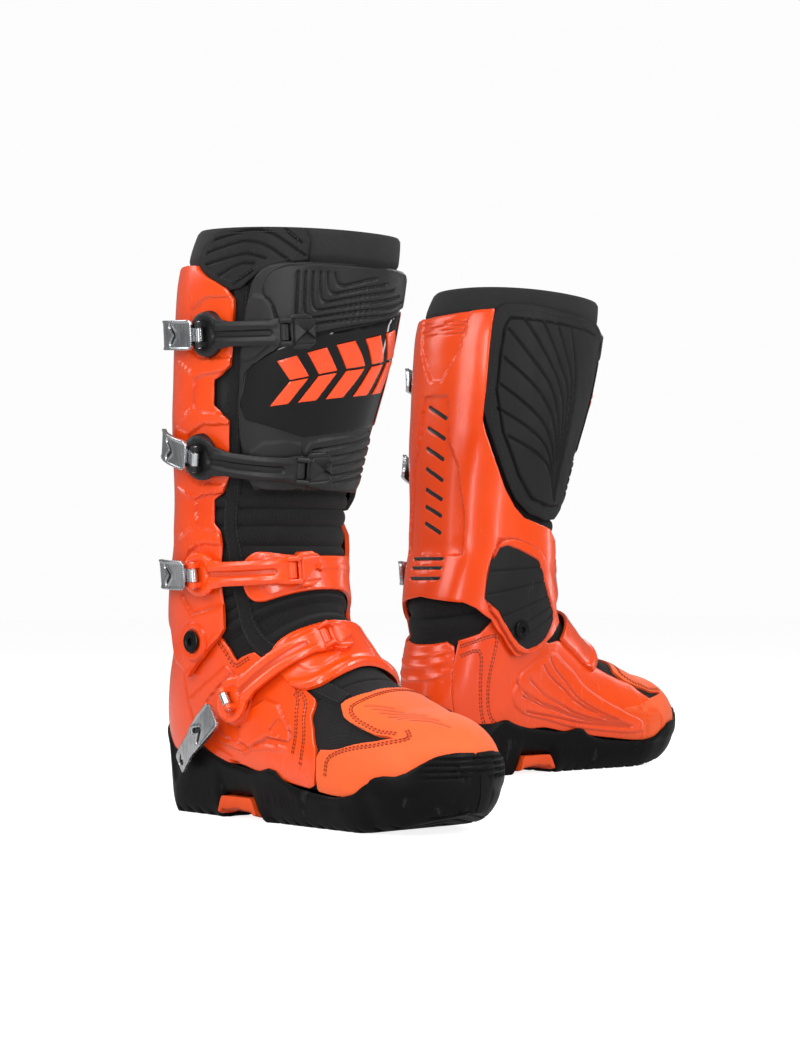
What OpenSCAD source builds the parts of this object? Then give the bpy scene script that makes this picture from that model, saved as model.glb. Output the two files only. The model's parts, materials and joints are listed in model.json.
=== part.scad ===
// A pair of motocross riding boots. Each boot has a foot body and a cuff body that turn about the
// ankle bolts, and four buckles: a strap hinged at a front anchor with a lever hinged at its end.
// One boot is drawn lying along +X (heel at x = 0, outer side at -y); the left boot is its mirror image.

/* [Pair] */
// Position of the right boot's heel along X
right_heel_x = -76.86; // [-100:0.01:-60]
// Position of the right boot's middle along Y
right_mid_y = -252.86; // [-290:0.01:-240]
// Position of the left boot's middle along X
left_mid_x = -139.86; // [-170:0.01:-130]
// Position of the left boot's heel along Y
left_heel_y = 36.14; // [0:0.01:50]

/* [Layers] */
// Thickness of the fabric inner boot
liner_t = 3; // [2:0.5:4]
// Thickness of the padded collar
collar_t = 9; // [6:0.5:10]
// Thickness of the hard calf and shin shells
shell_t = 3.5; // [2.5:0.5:4]
// Gap between the inner boot and the hard shells round the leg
shell_gap = 4.5; // [4:0.5:5.5]
// Extra gap of the shell's ankle arms over the foot shell
arm_gap = 1.7; // [1.5:0.1:2.5]
// Thickness of the foot shell, heel cup and toe cap
foot_shell_t = 2.5; // [2:0.5:3]
// Gap between layers of the same body
layer_gap = 0.3; // [0.2:0.1:0.4]

/* [Sole] */
// Height of the recess under the arch
arch_h = 17; // [12:1:18]
// Rise of the sole under the toe
toe_spring = 14; // [8:1:18]
// Thickness of the sole's side wall
sole_wall = 2.4; // [2:0.2:3]

/* [Ankle] */
// Height of the ankle axis
ankle_z = 126; // [122:1:130]
// Distance of the ankle axis from the heel's back
ankle_x = 76; // [72:1:80]
// Radius of the ankle bolts' shanks
bolt_r = 5; // [4:0.5:6]
// Radius of the ankle bolts' heads
bolt_head_r = 11; // [10:0.5:12]
// Radial running clearance of the hinges
fit = 0.07; // [0.03:0.01:0.1]

/* [Buckles] */
// Width of a strap
strap_w = 20; // [16:1:22]
// Thickness of a strap
strap_t = 3; // [2.5:0.5:3.5]
// Radius of the round end of a strap
hub_r = 15.5; // [14:0.5:16]
// Radius of the buckle pins
pin_r = 1.5; // [1.2:0.1:2]
// Width of a lever
lever_w = 21; // [20:0.5:24]
// Thickness of a lever's plate
lever_t = 2.4; // [2:0.2:3]

/* [Hidden] */
PARTS = ["outsole", "sole_insert", "insole", "toe_cap", "foot_shell", "heel_cup", "vamp", "liner_foot",
    "instep_band", "instep_fittings", "pivot_bolts", "calf_shell", "liner_leg", "shin_plate", "shin_panel",
    "cuff_anchors", "cuff_catches", "medial_pad", "ankle_pad", "gaiter_pad", "ankle_band", "ankle_bellows",
    "strap_1", "strap_2", "strap_3", "strap_4", "lever_1", "lever_2", "lever_3", "lever_4"];

orange = "orangered";
black = [0.12, 0.12, 0.13];
ink = [0.17, 0.17, 0.18];
silver = "silver";

// ---- The form: cross sections from the collar down the leg, round the instep and out to the toe ----
// A section is [origin x, origin z, direction x, direction z, front or top, rear or bottom, half width,
// place of the widest point, power of the front half, power of the rear half, sideways shift,
// share of an offset that goes forward, share that goes round].

throat = [225, 190]; // the instep's sections fan out round this point, in front of the shin

function leg(z, rear, front, w, tilt = 0) =
    [throat.x, z, -1, tilt, throat.x - front, throat.x - rear, w, 0.5, 2.2, 2.2, 0, 0, 1];

function fan(turn, front, rear, w, crest, top, bottom, shift = 0) =
    [throat.x, throat.y, -cos(turn), -sin(turn), front, rear, w, crest, top, bottom, shift, 0, 1];

function ball(x, z_top, z_bottom, w, crest, top, bottom, shift) =
    [x, throat.y, 0, -1, throat.y - z_top, throat.y - z_bottom, w, crest, top, bottom, shift, 0, 1];

function toe(turn) = let (c = cos(turn))
    [253 + 43 * sin(turn), throat.y, 0, -1, throat.y - 42 - 36.5 * c, throat.y - 42 + 20 * c, 50.5 * c,
        0.72 - 0.2 * (1 - c), 2.2, 3.4 - 1.2 * (1 - c), 4 + 4 * (1 - c), sin(turn), c];

SECTIONS = [
    leg(409, 56, 199, 63, 0.065), leg(393, 47, 196.5, 64.5, 0.05), leg(376, 41, 193, 65.5, 0.03),
    leg(354, 38, 188, 65, 0.01), leg(333, 36, 182, 64), leg(310, 34, 174.5, 62), leg(288, 32, 166, 60),
    leg(266, 30.5, 158.5, 57), leg(244, 30, 152, 54), leg(226, 29.5, 147, 52), leg(208, 29, 144, 51),
    fan(0, 80, 197, 50, 0.5, 2.2, 2.2), fan(9.4, 79, 207.8, 48, 0.5, 2.2, 2.2),
    fan(18.7, 78.5, 221.7, 46, 0.47, 2.2, 2.2), fan(24.6, 78.5, 239.8, 45, 0.45, 2.2, 2.2),
    fan(30.6, 79, 255.5, 44, 0.43, 2.2, 2.3), fan(36, 79, 261, 43, 0.43, 2.2, 2.5),
    fan(40, 79, 254.5, 43, 0.45, 2.2, 2.8), fan(44, 79.5, 237, 42.5, 0.48, 2.2, 3.1),
    fan(52.7, 81, 206.2, 43, 0.55, 2.2, 3.5), fan(60, 83, 189.5, 44.5, 0.62, 2.1, 3.8),
    fan(70, 87, 176, 46.5, 0.68, 2.1, 4), fan(80, 92, 169.7, 49, 0.72, 2.1, 4, 1),
    fan(90, 98, 169, 51, 0.74, 2.1, 4, 2), ball(234, 88, 21.2, 51.5, 0.75, 2.1, 4, 2.6),
    ball(244, 83, 21.6, 51.5, 0.75, 2.2, 3.8, 3.4),
    for (turn = [0:15:90]) toe(turn)];

function unit(v) = v / norm(v);
function mix(a, b, t) = a + (b - a) * t;
function smooth(t) = let (c = min(max(t, 0), 1)) c * c * (3 - 2 * c);

// The section at a station, on a smooth curve through the listed ones
function section(s) =
    let (
        last = len(SECTIONS) - 1,
        i = min(max(floor(s), 0), last - 1),
        t = s - i,
        b = SECTIONS[i],
        c = SECTIONS[i + 1],
        a = i > 0 ? SECTIONS[i - 1] : 2 * b - c,
        d = i < last - 1 ? SECTIONS[i + 2] : 2 * c - b
    ) (2 * b + (c - a) * t + (2 * a - 5 * b + 4 * c - d) * pow(t, 2) + (3 * b - a - 3 * c + d) * pow(t,
        3)) / 2;

// A point of the form: station s, angle t (0 front or top, -90 outer side, 180 rear or bottom), offset off
function form(s, t, off = 0) =
    let (
        q = section(s),
        dir = unit([q[2], q[3]]),
        w = max(q[6] + q[12] * off, 0),
        lo = q[4] - q[12] * off,
        hi = q[5] + q[12] * off,
        crest = q[4] + q[7] * (q[5] - q[4]),
        front = cos(t) >= 0,
        power = 2 / (front ? q[8] : q[9]),
        reach = pow(abs(cos(t)), power),
        e = front ? crest - (crest - lo) * reach : crest + (hi - crest) * reach,
        y = sign(sin(t)) * w * pow(abs(sin(t)), power) + q[10]
    ) [q[0] + dir.x * e + q[11] * off, y, q[1] + dir.y * e];

function normal(s, t) =
    unit(cross(form(s + 0.2, t) - form(s - 0.2, t), form(s, t + 2) - form(s, t - 2)));

// ---- Skins: closed solids between an outer and an inner grid of points ----

// ring joins the last column to the first; tip closes the last row with flat faces
module skin(outer, inner, ring = false, tip = false) {
    m = len(outer);
    k = len(outer[0]);
    turns = ring ? k : k - 1;
    base = m * k;
    end = base - k;
    faces = [
        for (i = [0:m - 2], j = [0:turns - 1])
            let (a = i * k + j, b = i * k + (j + 1) % k, c = b + k, d = a + k)
            each [[a, b, c], [a, c, d], [a + base, c + base, b + base], [a + base, d + base, c + base]],
        for (j = [0:turns - 1]) let (a = j, b = (j + 1) % k)
            each [[b, a, a + base], [b, a + base, b + base]],
        if (!tip) for (j = [0:turns - 1]) let (d = end + j, c = end + (j + 1) % k)
            each [[d, c, c + base], [d, c + base, d + base]],
        if (tip) [for (j = [0:k - 1]) end + j],
        if (tip) [for (j = [k - 1:-1:0]) base + end + j],
        if (tip && !ring) [end, end + k - 1, base + end + k - 1, base + end],
        if (!ring) for (i = [0:m - 2]) let (a = i * k, d = a + k)
            each [[a, d, d + base], [a, d + base, a + base]],
        if (!ring) for (i = [0:m - 2]) let (b = i * k + k - 1, c = b + k)
            each [[c, b, b + base], [c, b + base, c + base]]
    ];
    polyhedron([for (row = concat(outer, inner), p = row) p], faces, convexity = 8);
}

// Grids of [station, angle]: one from rows [station, first angle, last angle],
// one from columns [angle, top station, bottom station], and one of whole rings
function by_rows(rows, n) = [for (r = rows) [for (j = [0:n]) [r[0], mix(r[1], r[2], j / n)]]];
function by_columns(cols, n) = [for (i = [0:n]) [for (c = fine(cols, 11)) [mix(c[1], c[2], i / n), c[0]]]];
// Columns with more put in between, so that none is further than step degrees from the next
function fine(cols, step) = [cols[0], for (i = [1:len(cols) - 1])
    let (a = cols[i - 1], b = cols[i], m = ceil((b[0] - a[0]) / step)) for (k = [1:m]) mix(a, b, k / m)];
function rings(stations, n) = [for (s = stations) [for (j = [0:n - 1]) [s, -180 + 360 * j / n]]];

function lay(grid, off) = [for (row = grid) [for (g = row) form(g[0], g[1], off)]];
// The same columns on the other side of the boot
function other_side(cols) = [for (i = [len(cols) - 1:-1:0]) [-cols[i][0], cols[i][1], cols[i][2]]];

module panel(grid, low, high) {
    skin(lay(grid, high), lay(grid, low));
}

// ---- Sole ----

sole_edge = [ // [station, inner-side angle, outer-side angle] of the sole wall's top edge
    [14.6, -195, -165], [15.2, -214, -146], [15.7, -221, -139], [16.1, -225, -135], [16.5, -231, -129],
    [17, -237, -122], [17.6, -245, -112],
    [18.3, -243, -114], [18.66, -242, -116], [18.84, -242, -117], [19, -241, -118], [19.62, -243, -116],
    [19.86, -243, -116], [20, -244, -115], [20.2, -247, -112], [20.6, -259, -99], [21.1, -246, -112],
    [21.8, -240, -121], [23, -246, -114], [24.5, -254, -106], [26, -266, -93], [27, -273, -87],
    [28.2, -271, -89], [29.1, -282, -78], [29.7, -300, -60], [30.6, -310, -50], [31.3, -315, -45],
    [31.75, -318, -42]];

arch = [86, 132]; // rear and front ends of the recess under the arch

// Height of the recess under the arch
function recess(x) = arch_h * smooth((x - arch[0]) / 8) * smooth((arch[1] + 4 - x) / 12);
// Height of the tread above the floor
function tread(x) = max(recess(x), toe_spring * pow(max(x - 232, 0) / 68, 1.6));
// How far a point has gone under the boot, from 0 on the side wall to 1 on the tread
function under(s, t, start = 15.6) = smooth((65 - abs(t + 180)) / 32) * smooth((s - start) / 0.9);
function sole_out(s, t) = let (p = form(s, t, foot_shell_t + 2 + layer_gap + sole_wall))
    [p.x, p.y * 0.99, max(mix(p.z, tread(p.x), under(s, t)), recess(p.x))];
// The shells' lower edges reach under the heel, so the sole comes up to the lining in front of them
function sole_in(s, t) = form(s, t, mix(foot_shell_t + 2, 0.3, under(s, t, 18.7)) + layer_gap * 2);

module outsole() {
    grid = by_rows(sole_edge, 22);
    color(black)
    skin([for (r = grid) [for (g = r) sole_out(g[0], g[1])]],
        [for (r = grid) [for (g = r) sole_in(g[0], g[1])]], tip = true);
}

// Block that fills the recess under the arch
module sole_insert() {
    top = arch_h - 2;
    color(orange)
    rotate([90, 0, 0])
    linear_extrude(88, center = true)
    polygon([[arch[0] + 6, 4], [arch[0] + 7.5, 9], [arch[0] + 11, top], [arch[1] - 11, top],
        [arch[1] - 6.5, 9],
        [arch[1] - 4, 4]]);
}

module insole() {
    color(ink)
    panel(by_rows([for (s = [17.6, 18, 19, 20, 22, 24, 26, 28, 29.5, 30.5]) [s, -226, -134]], 5), -7.6, -4);
}

// ---- Foot ----

toe_cap_cols = [[-56, 23.4, 27.5], [-44, 22.9, 29.2], [-28, 22.3, 29.6], [-14, 22.3, 29.9], [0, 22.3, 30]];
foot_shell_cols = [[-140, 14, 17.2], [-125, 13.2, 17.7], [-107, 12.7, 18.3], [-92, 13.1, 19.6],
    [-80, 14.4, 20.8], [-72, 16.8, 21.9], [-62, 17.2, 21.9], [-52, 19.6, 21.2]];
vamp_cols = [[-98, 21.2, 25.5], [-86, 21.4, 27.6], [-72, 21, 28.3], [-56, 20.4, 28.4], [-30, 20.4, 24],
    [0, 20.4, 23.6]];
instep_cols = [[-60, 17.1, 20.6], [-40, 17.4, 21.2], [-20, 17.7, 21.3], [0, 17.8, 21.2]];

function both_sides(cols) = concat(cols, [for (i = [len(cols) - 2:-1:0]) [-cols[i][0], cols[i][1],
    cols[i][2]]]);

outer_off = layer_gap + 1.6; // the foot shell lies over the vamp

module toe_cap() {
    color(orange)
    panel(by_columns(both_sides(toe_cap_cols), 7), outer_off, outer_off + foot_shell_t);
}

module foot_shell() {
    color(orange)
    difference() {
        union() {
            panel(by_columns(foot_shell_cols, 8), outer_off, outer_off + foot_shell_t);
            panel(by_columns(other_side(foot_shell_cols), 8), outer_off, outer_off + foot_shell_t);
        }
        ankle_bore(bolt_r);
    }
}

module heel_cup() {
    color(orange)
    panel(by_rows([[13.2, -205, -155], [13.6, -217, -143], [14.6, -217.5, -142.5], [15.6, -217.5, -142.5],
        [16.6, -217.5, -142.5], [17.2, -217, -143]], 9), outer_off, outer_off + foot_shell_t);
}

module vamp() {
    color(ink)
    panel(by_columns(both_sides(vamp_cols), 9), layer_gap * 2, layer_gap + 1);
}

module liner_foot() {
    grid = rings([14.05, 15.2, 16.4, 17.4, 18.2, 19.2, 20.6, 22, 24, 26, 28, 29.5, 30.6, 31.6], 22);
    color(ink)
    skin(lay(grid, 0), lay(grid, -liner_t), ring = true, tip = true);
}

module instep_band() {
    color(orange)
    panel(by_columns(both_sides(instep_cols), 4), outer_off + foot_shell_t + layer_gap, outer_off + 6);
}

// ---- Ankle hinge ----

module ankle_bore(r) {
    translate([ankle_x, 90, ankle_z])
    rotate([90, 0, 0])
    cylinder(r = r, h = 180, $fn = 48);
}

// A short cylinder on the ankle axis between two distances from the boot's middle; side is -1 or 1
module ankle_disc(side, from, to, r) {
    translate([ankle_x, side * from, ankle_z])
    rotate([-90 * side, 0, 0])
    cylinder(r = r, h = to - from, $fn = 48);
}

arm_in = 52.6; // inner and outer faces of the arms' bosses, from the middle
arm_out = 56.4;

module pivot_bolts() {
    color(black)
    for (side = [-1, 1]) {
        ankle_disc(side, 47.2, arm_out + layer_gap, bolt_r);
        ankle_disc(side, arm_out + layer_gap, arm_out + layer_gap + 2.4, bolt_head_r);
    }
}

// ---- Cuff ----

calf_cols = [[-302, 10.7, 15.4], [-290, 10, 15.6], [-276, 9.6, 15.5], [-262, 9.5, 14.9], [-248, 9, 13.4],
    [-236, 7.9, 12.5], [-226, 6.8, 12.3], [-219, 5.6, 12.2], [-217.5, 1.1, 12.2], [-200, 1.2, 12.1],
    [-180, 1.3, 12], [-160, 1.35, 12.1], [-140, 1.4, 12.3], [-125, 1.4, 12.8], [-113, 1.4, 14], [-100,
        1.45, 14.7],
    [-88, 1.9, 14.6], [-77, 2.7, 14.4], [-74.5, 2.9, 9.5], [-70, 4, 8.6]];
shin_rows = [[1.45, -45, 45], [1.95, -59, 46], [3, -64, 46.5], [4.2, -66, 46.5], [6.3, -66, 46.5], [7.5,
    -60, 46.5],
    [8.5, -49, 45]];
shin_panel_cols = [[-59, 5, 6.2], [-53, 4.35, 6.7], [-39.5, 4.25, 6.9], [-22, 3.7, 7], [-9, 3.4, 7.1], [20,
    2.8, 6.9],
    [43, 2.4, 6.6]];
medial_pad_cols = [[49.5, 1.5, 8.8], [64, 1.4, 9.2], [78, 1.25, 9.2], [94, 1.1, 9], [107, 1, 8.2], [118, 1,
    7.4],
    [130, 1, 6.3], [140, 1, 5]];
gaiter_cols = [[-104, 0.4, 1], [-90, 0.15, 1.5], [-76, 0.1, 2.3], [-62, 0.1, 1.55], [-45, 0.1, 1.2], [-34,
    0.3, 1.1]];
band_cols = [[-70.5, 10.8, 13.9], [-60, 11, 13.7], [-40, 11.1, 13.5], [-20, 11.2, 13.4], [0, 11.2, 13.4],
    [20, 11.2, 13.4], [38, 11.2, 13.7], [54, 11.2, 14.2]];

function arm(s) = arm_gap * smooth((s - 8.5) / 3.5);

module calf_shell() {
    grid = by_columns(calf_cols, 9);
    color(orange)
    difference() {
        union() {
            skin([for (r = grid) [for (g = r) form(g[0], g[1], shell_gap + shell_t + arm(g[0]))]],
                [for (r = grid) [for (g = r) form(g[0], g[1], shell_gap + arm(g[0]))]]);
            ankle_disc(-1, arm_in, arm_out, bolt_head_r);
            ankle_disc(1, arm_in, arm_out, bolt_head_r);
        }
        ankle_bore(bolt_r + fit);
    }
}

module liner_leg() {
    rows = [[0, -5.5, 1.5], [0.3, 2.6 - collar_t, 3], [1.2, 3 - collar_t, 3], [1.6, -liner_t, 0], [4,
        -liner_t, 0],
        [6, -liner_t, 0], [8, -liner_t, 0], [10.2, -liner_t, 0]];
    grid = rings([for (r = rows) r[0]], 24);
    color(black)
    skin([for (i = [0:len(rows) - 1]) [for (g = grid[i]) form(g[0], g[1], rows[i][2])]],
        [for (i = [0:len(rows) - 1]) [for (g = grid[i]) form(g[0], g[1], rows[i][1])]], ring = true);
}

module shin_plate() {
    color(ink)
    panel(by_rows(shin_rows, 12), shell_gap, shell_gap + shell_t);
}

module shin_panel() {
    color(black)
    panel(by_columns(shin_panel_cols, 5), shell_gap + shell_t + 0.2, shell_gap + shell_t + 1.7);
}

module medial_pad() {
    color(black)
    panel(by_columns(medial_pad_cols, 7), shell_gap, shell_gap + shell_t + 0.5);
}

module ankle_pad() {
    color(ink)
    panel(by_columns([[84, 11, 12.6], [100, 10.9, 12.4], [115, 10.8, 12.2], [128, 11, 12]], 3), 10.1, 11.4);
}

module gaiter_pad() {
    color(black)
    panel(by_columns(gaiter_cols, 3), 3.3, 6);
}

module ankle_band() {
    color(orange)
    panel(by_columns(band_cols, 4), shell_gap, shell_gap + 3);
}

module ankle_bellows() {
    grid = rings([10.35, 11.3, 12.2, 13.1, 13.9], 24);
    color(ink)
    skin(lay(grid, 0.6), lay(grid, -2), ring = true);
}

// ---- Buckles ----
// Each buckle is [anchor station, anchor angle, hub station, hub angle, offset of the strap from the form,
// lever's reach]. In its own frame the strap hinge is at the origin, x runs to the middle of the strap's
// round end and z points outward. Reach is along the strap's path, where 0 is the anchor and 1 the round end.

BUCKLES = [[3.68, -43, 3.64, -87, 12, 1.93], [7.87, -22, 7.46, -86, 12.3, 1.68],
    [12.1, -26, 11.74, -86, 13.6, 1.7], [19.11, -21.5, 18.06, -87, 12.4, 1.6]];
barrel_r = 3.4; // hinge at the anchor
barrel_l = 12;
lug_r = 3; // hinge of the lever
lug_in = 5;
lug_out = 9;
pin_up = 5.6; // height of the lever's pin above the strap's middle
pin_back = 2; // and its distance behind the middle of the strap's round end
cheek = 3.2; // thickness of an anchor's lug
seat_gap = 0.6; // between a strap's round end and its seat
play = 0.3; // sideways play in the hinges

function path_at(i, t, off) =
    let (b = BUCKLES[i]) form(mix(b[0], b[2], t), mix(b[1], b[3], t), off);
function anchor_at(i) = path_at(i, 0, BUCKLES[i][4]);
function hub_at(i) = path_at(i, 1, BUCKLES[i][4]);
function along(i) = unit(hub_at(i) - anchor_at(i));
function outward(i) = let (b = BUCKLES[i], n = normal(b[2], mix(b[1], b[3], 0.6)), u = along(i))
    unit(n - (n * u) * u);
function across(i) = cross(outward(i), along(i));
function strap_l(i) = norm(hub_at(i) - anchor_at(i));
// A point in the buckle's own plane: [distance along, distance outward]
function flat(i, p) = let (v = p - anchor_at(i)) [v * along(i), v * outward(i)];
// The path from one reach to another, with the offset changing evenly
function path(i, from, to, off, off_end, n = 8) =
    [for (k = [0:n]) flat(i, path_at(i, mix(from, to, k / n), mix(off, off_end, k / n)))];
function lever_pin(i) = [strap_l(i) + pin_back, pin_up];

module in_frame(i) {
    u = along(i);
    w = across(i);
    n = outward(i);
    a = anchor_at(i);
    multmatrix([[u.x, w.x, n.x, a.x], [u.y, w.y, n.y, a.y], [u.z, w.z, n.z, a.z], [0, 0, 0, 1]]) children();
}

// A strip across the buckle's plane along a line of points
module ribbon(line, thick, width) {
    last = len(line) - 1;
    up = [for (k = [0:last]) let (d = unit(line[min(k + 1, last)] - line[max(k - 1, 0)])) [-d.y,
        d.x] * thick / 2];
    rotate([90, 0, 0])
    linear_extrude(width, center = true)
    polygon(concat([for (k = [0:last]) line[k] + up[k]], [for (k = [last:-1:0]) line[k] - up[k]]));
}

module pin_along(at, r, length) {
    translate([at.x, 0, at.y])
    rotate([90, 0, 0])
    cylinder(r = r, h = length, center = true, $fn = 32);
}

module strap(i) {
    l = strap_l(i);
    off = BUCKLES[i][4];
    pin = lever_pin(i);
    in_frame(i)
    difference() {
        union() {
            intersection() {
                ribbon(path(i, 0, 1.4, off, off, 14), strap_t, 2 * hub_r);
                translate([0, 0, -30])
                linear_extrude(60)
                union() {
                    translate([-1, -strap_w / 2]) square([l, strap_w]);
                    translate([l, 0]) circle(r = hub_r, $fn = 48);
                }
            }
            pin_along([0, 0], barrel_r, barrel_l);
            for (side = [-1, 1]) {
                translate([0, side * (lug_in + lug_out) / 2, 0]) pin_along(pin, lug_r, lug_out - lug_in);
                translate([pin.x - lug_r, side > 0 ? lug_in : -lug_out, -1.2])
                cube([2 * lug_r, lug_out - lug_in, pin_up + 1.2]);
            }
        }
        pin_along([0, 0], pin_r + fit, barrel_l + 2);
        pin_along(pin, pin_r + fit, 2 * lug_out + 2);
        translate([l * 0.3, -2, -20]) cube([l * 0.4, 4, 60]); // adjustment slot
        for (side = [-1, 1]) // room for the anchor's lugs
            translate([-10, side > 0 ? barrel_l / 2 : -barrel_l / 2 - 20, -20]) cube([16, 20, 40]);
    }
}

module lever(i) {
    off = BUCKLES[i][4] + strap_t / 2 + play + lever_t / 2;
    reach = BUCKLES[i][5];
    pin = lever_pin(i);
    first = 1 + (pin_back + lug_r + play + 0.7) / strap_l(i);
    line = path(i, first, reach, off + 2.4, off - 0.6);
    in_frame(i)
    difference() {
        union() {
            ribbon(line, lever_t, lever_w);
            ribbon([pin, line[0], line[1]], lever_t, 2 * (lug_in - play));
            pin_along(pin, lug_r, 2 * (lug_in - play));
            pin_along(pin, pin_r, 2 * lug_out + 1);
        }
        for (k = [2.6, 5.4]) // weight-saving windows
            translate([line[floor(k)].x, 0, -60])
            linear_extrude(100)
            polygon([[-4, -5.5], [5, 0], [-4, 5.5], [-1, 0]]);
    }
}

// Fixed block with two lugs and the pin of a strap
module anchor(i) {
    off = BUCKLES[i][4];
    l = strap_l(i);
    base = shell_gap + (i < 2 ? shell_t : 2) - 0.5;
    in_frame(i)
    union() {
        ribbon(path(i, -21 / l, -5.5 / l, (off + 1 + base) / 2, (off + 2.5 + base) / 2), off + 1.5 - base,
            24);
        for (side = [-1, 1])
            translate([0, side * (barrel_l / 2 + play + cheek / 2), 0]) {
                pin_along([0, 0], 4.2, cheek);
                translate([-8, -cheek / 2, -3.4]) cube([8, cheek, 6]);
            }
        pin_along([0, 0], pin_r, barrel_l + 2);
    }
}

// Round seat under a strap's end
module catch(i) {
    top = BUCKLES[i][4] - strap_t / 2 - seat_gap;
    base = i < 3 ? shell_gap + shell_t - 0.5 : outer_off + foot_shell_t - 0.5;
    in_frame(i)
    intersection() {
        ribbon(path(i, 0.7, 1.3, (top + base) / 2, (top + base) / 2), top - base, 2 * hub_r);
        translate([strap_l(i), 0, -30]) cylinder(r = hub_r - 2, h = 60, $fn = 48);
    }
}

module instep_fittings() {
    color(black) anchor(3);
    color(orange) catch(3);
}

module cuff_anchors() {
    color(ink) for (i = [0:2]) anchor(i);
}

module cuff_catches() {
    color(orange) for (i = [0:2]) catch(i);
}

// ---- Placing the two boots ----

module place(side) {
    if (side == "right") translate([right_heel_x, right_mid_y, 0]) children();
    else translate([left_mid_x, left_heel_y, 0]) mirror([1, -1, 0]) children();
}

module part(name) {
    if (name == "outsole") outsole();
    if (name == "sole_insert") sole_insert();
    if (name == "insole") insole();
    if (name == "toe_cap") toe_cap();
    if (name == "foot_shell") foot_shell();
    if (name == "heel_cup") heel_cup();
    if (name == "vamp") vamp();
    if (name == "liner_foot") liner_foot();
    if (name == "instep_band") instep_band();
    if (name == "instep_fittings") instep_fittings();
    if (name == "pivot_bolts") pivot_bolts();
    if (name == "calf_shell") calf_shell();
    if (name == "liner_leg") liner_leg();
    if (name == "shin_plate") shin_plate();
    if (name == "shin_panel") shin_panel();
    if (name == "cuff_anchors") cuff_anchors();
    if (name == "cuff_catches") cuff_catches();
    if (name == "medial_pad") medial_pad();
    if (name == "ankle_pad") ankle_pad();
    if (name == "gaiter_pad") gaiter_pad();
    if (name == "ankle_band") ankle_band();
    if (name == "ankle_bellows") ankle_bellows();
    for (i = [0:3]) {
        if (name == str("strap_", i + 1)) color(i < 2 ? black : orange) strap(i);
        if (name == str("lever_", i + 1)) color(silver) lever(i);
    }
}

for (side = ["right", "left"], name = PARTS)
    place(side) part(name);
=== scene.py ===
import json
import math

import bpy
import numpy as np
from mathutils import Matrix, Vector


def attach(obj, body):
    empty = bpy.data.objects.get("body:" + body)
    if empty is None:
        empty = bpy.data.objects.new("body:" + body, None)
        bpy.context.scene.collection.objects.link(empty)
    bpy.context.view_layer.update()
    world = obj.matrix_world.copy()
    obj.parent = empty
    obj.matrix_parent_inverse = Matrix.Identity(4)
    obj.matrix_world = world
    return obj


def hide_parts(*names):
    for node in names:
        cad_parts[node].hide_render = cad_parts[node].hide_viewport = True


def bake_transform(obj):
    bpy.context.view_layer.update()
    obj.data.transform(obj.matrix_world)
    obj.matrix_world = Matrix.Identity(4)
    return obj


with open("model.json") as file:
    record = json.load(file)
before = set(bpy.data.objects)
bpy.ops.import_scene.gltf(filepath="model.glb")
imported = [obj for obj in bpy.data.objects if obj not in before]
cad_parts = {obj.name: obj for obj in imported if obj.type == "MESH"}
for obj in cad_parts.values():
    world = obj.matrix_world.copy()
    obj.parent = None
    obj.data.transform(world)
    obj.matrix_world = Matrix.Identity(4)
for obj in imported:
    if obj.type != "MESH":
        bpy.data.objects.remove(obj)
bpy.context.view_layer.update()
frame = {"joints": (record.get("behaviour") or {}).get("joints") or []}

# The visible model of a pair of motocross riding boots, built round the imported CAD frame.
#
# Lengths are in the boot's own millimetres (x forward from the heel's back, -y to the outer side, z up) until a piece
# is placed. A place on the boot is (station, angle): the stations run from the collar at 0 down the leg, round the
# instep and out to the toe at 32, and the angle goes round: 0 at the front or top, -90 on the outer side, 90 on the
# inner side and 180 at the rear or bottom. An offset is a height above the last surface.

MM = 0.001
SIDES = ("right", "left")
ANKLE = np.array([76.0, 0.0, 126.0])  # the ankle axis in boot millimetres


def ankle_place(side):
    joint = next(j for j in frame["joints"] if j["name"] == side + "_ankle")
    return np.array(joint["pos_m"]) / MM


SHIFT = {"right": ankle_place("right") - ANKLE, "left": ankle_place("left") - ANKLE[[1, 0, 2]]}


def placed(points, side):
    """Boot millimetres to metres in the row frame. The left boot is the right one with x and y exchanged."""
    p = np.asarray(points, float)
    if side == "left":
        p = p[..., [1, 0, 2]]
    return (p + SHIFT[side]) * MM


# ---- The form ----
# A section is origin x, origin z, direction x, direction z, front, rear, half width, crest, power of the front
# half, power of the rear half, sideways shift, share of an offset that goes forward, share that goes round.

THROAT = (225, 190)  # the instep's sections fan out round this point, in front of the shin


def leg(z, rear, front, w, tilt=0.0):
    return [THROAT[0], z, -1, tilt, THROAT[0] - front, THROAT[0] - rear, w, .5, 2.2, 2.2, 0, 0, 1]


def fan(turn, front, rear, w, crest, top, bottom, shift=0):
    a = math.radians(turn)
    return [*THROAT, -math.cos(a), -math.sin(a), front, rear, w, crest, top, bottom, shift, 0, 1]


def ball(x, z_top, z_bottom, w, crest, top, bottom, shift):
    return [x, THROAT[1], 0, -1, THROAT[1] - z_top, THROAT[1] - z_bottom, w, crest, top, bottom, shift, 0, 1]


def toe(turn):
    c, s = math.cos(math.radians(turn)), math.sin(math.radians(turn))
    return [253 + 43 * s, THROAT[1], 0, -1, THROAT[1] - 42 - 36.5 * c, THROAT[1] - 42 + 20 * c, 50.5 * c,
            .72 - .2 * (1 - c), 2.2, 3.4 - 1.2 * (1 - c), 4 + 4 * (1 - c), s, c]


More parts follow.
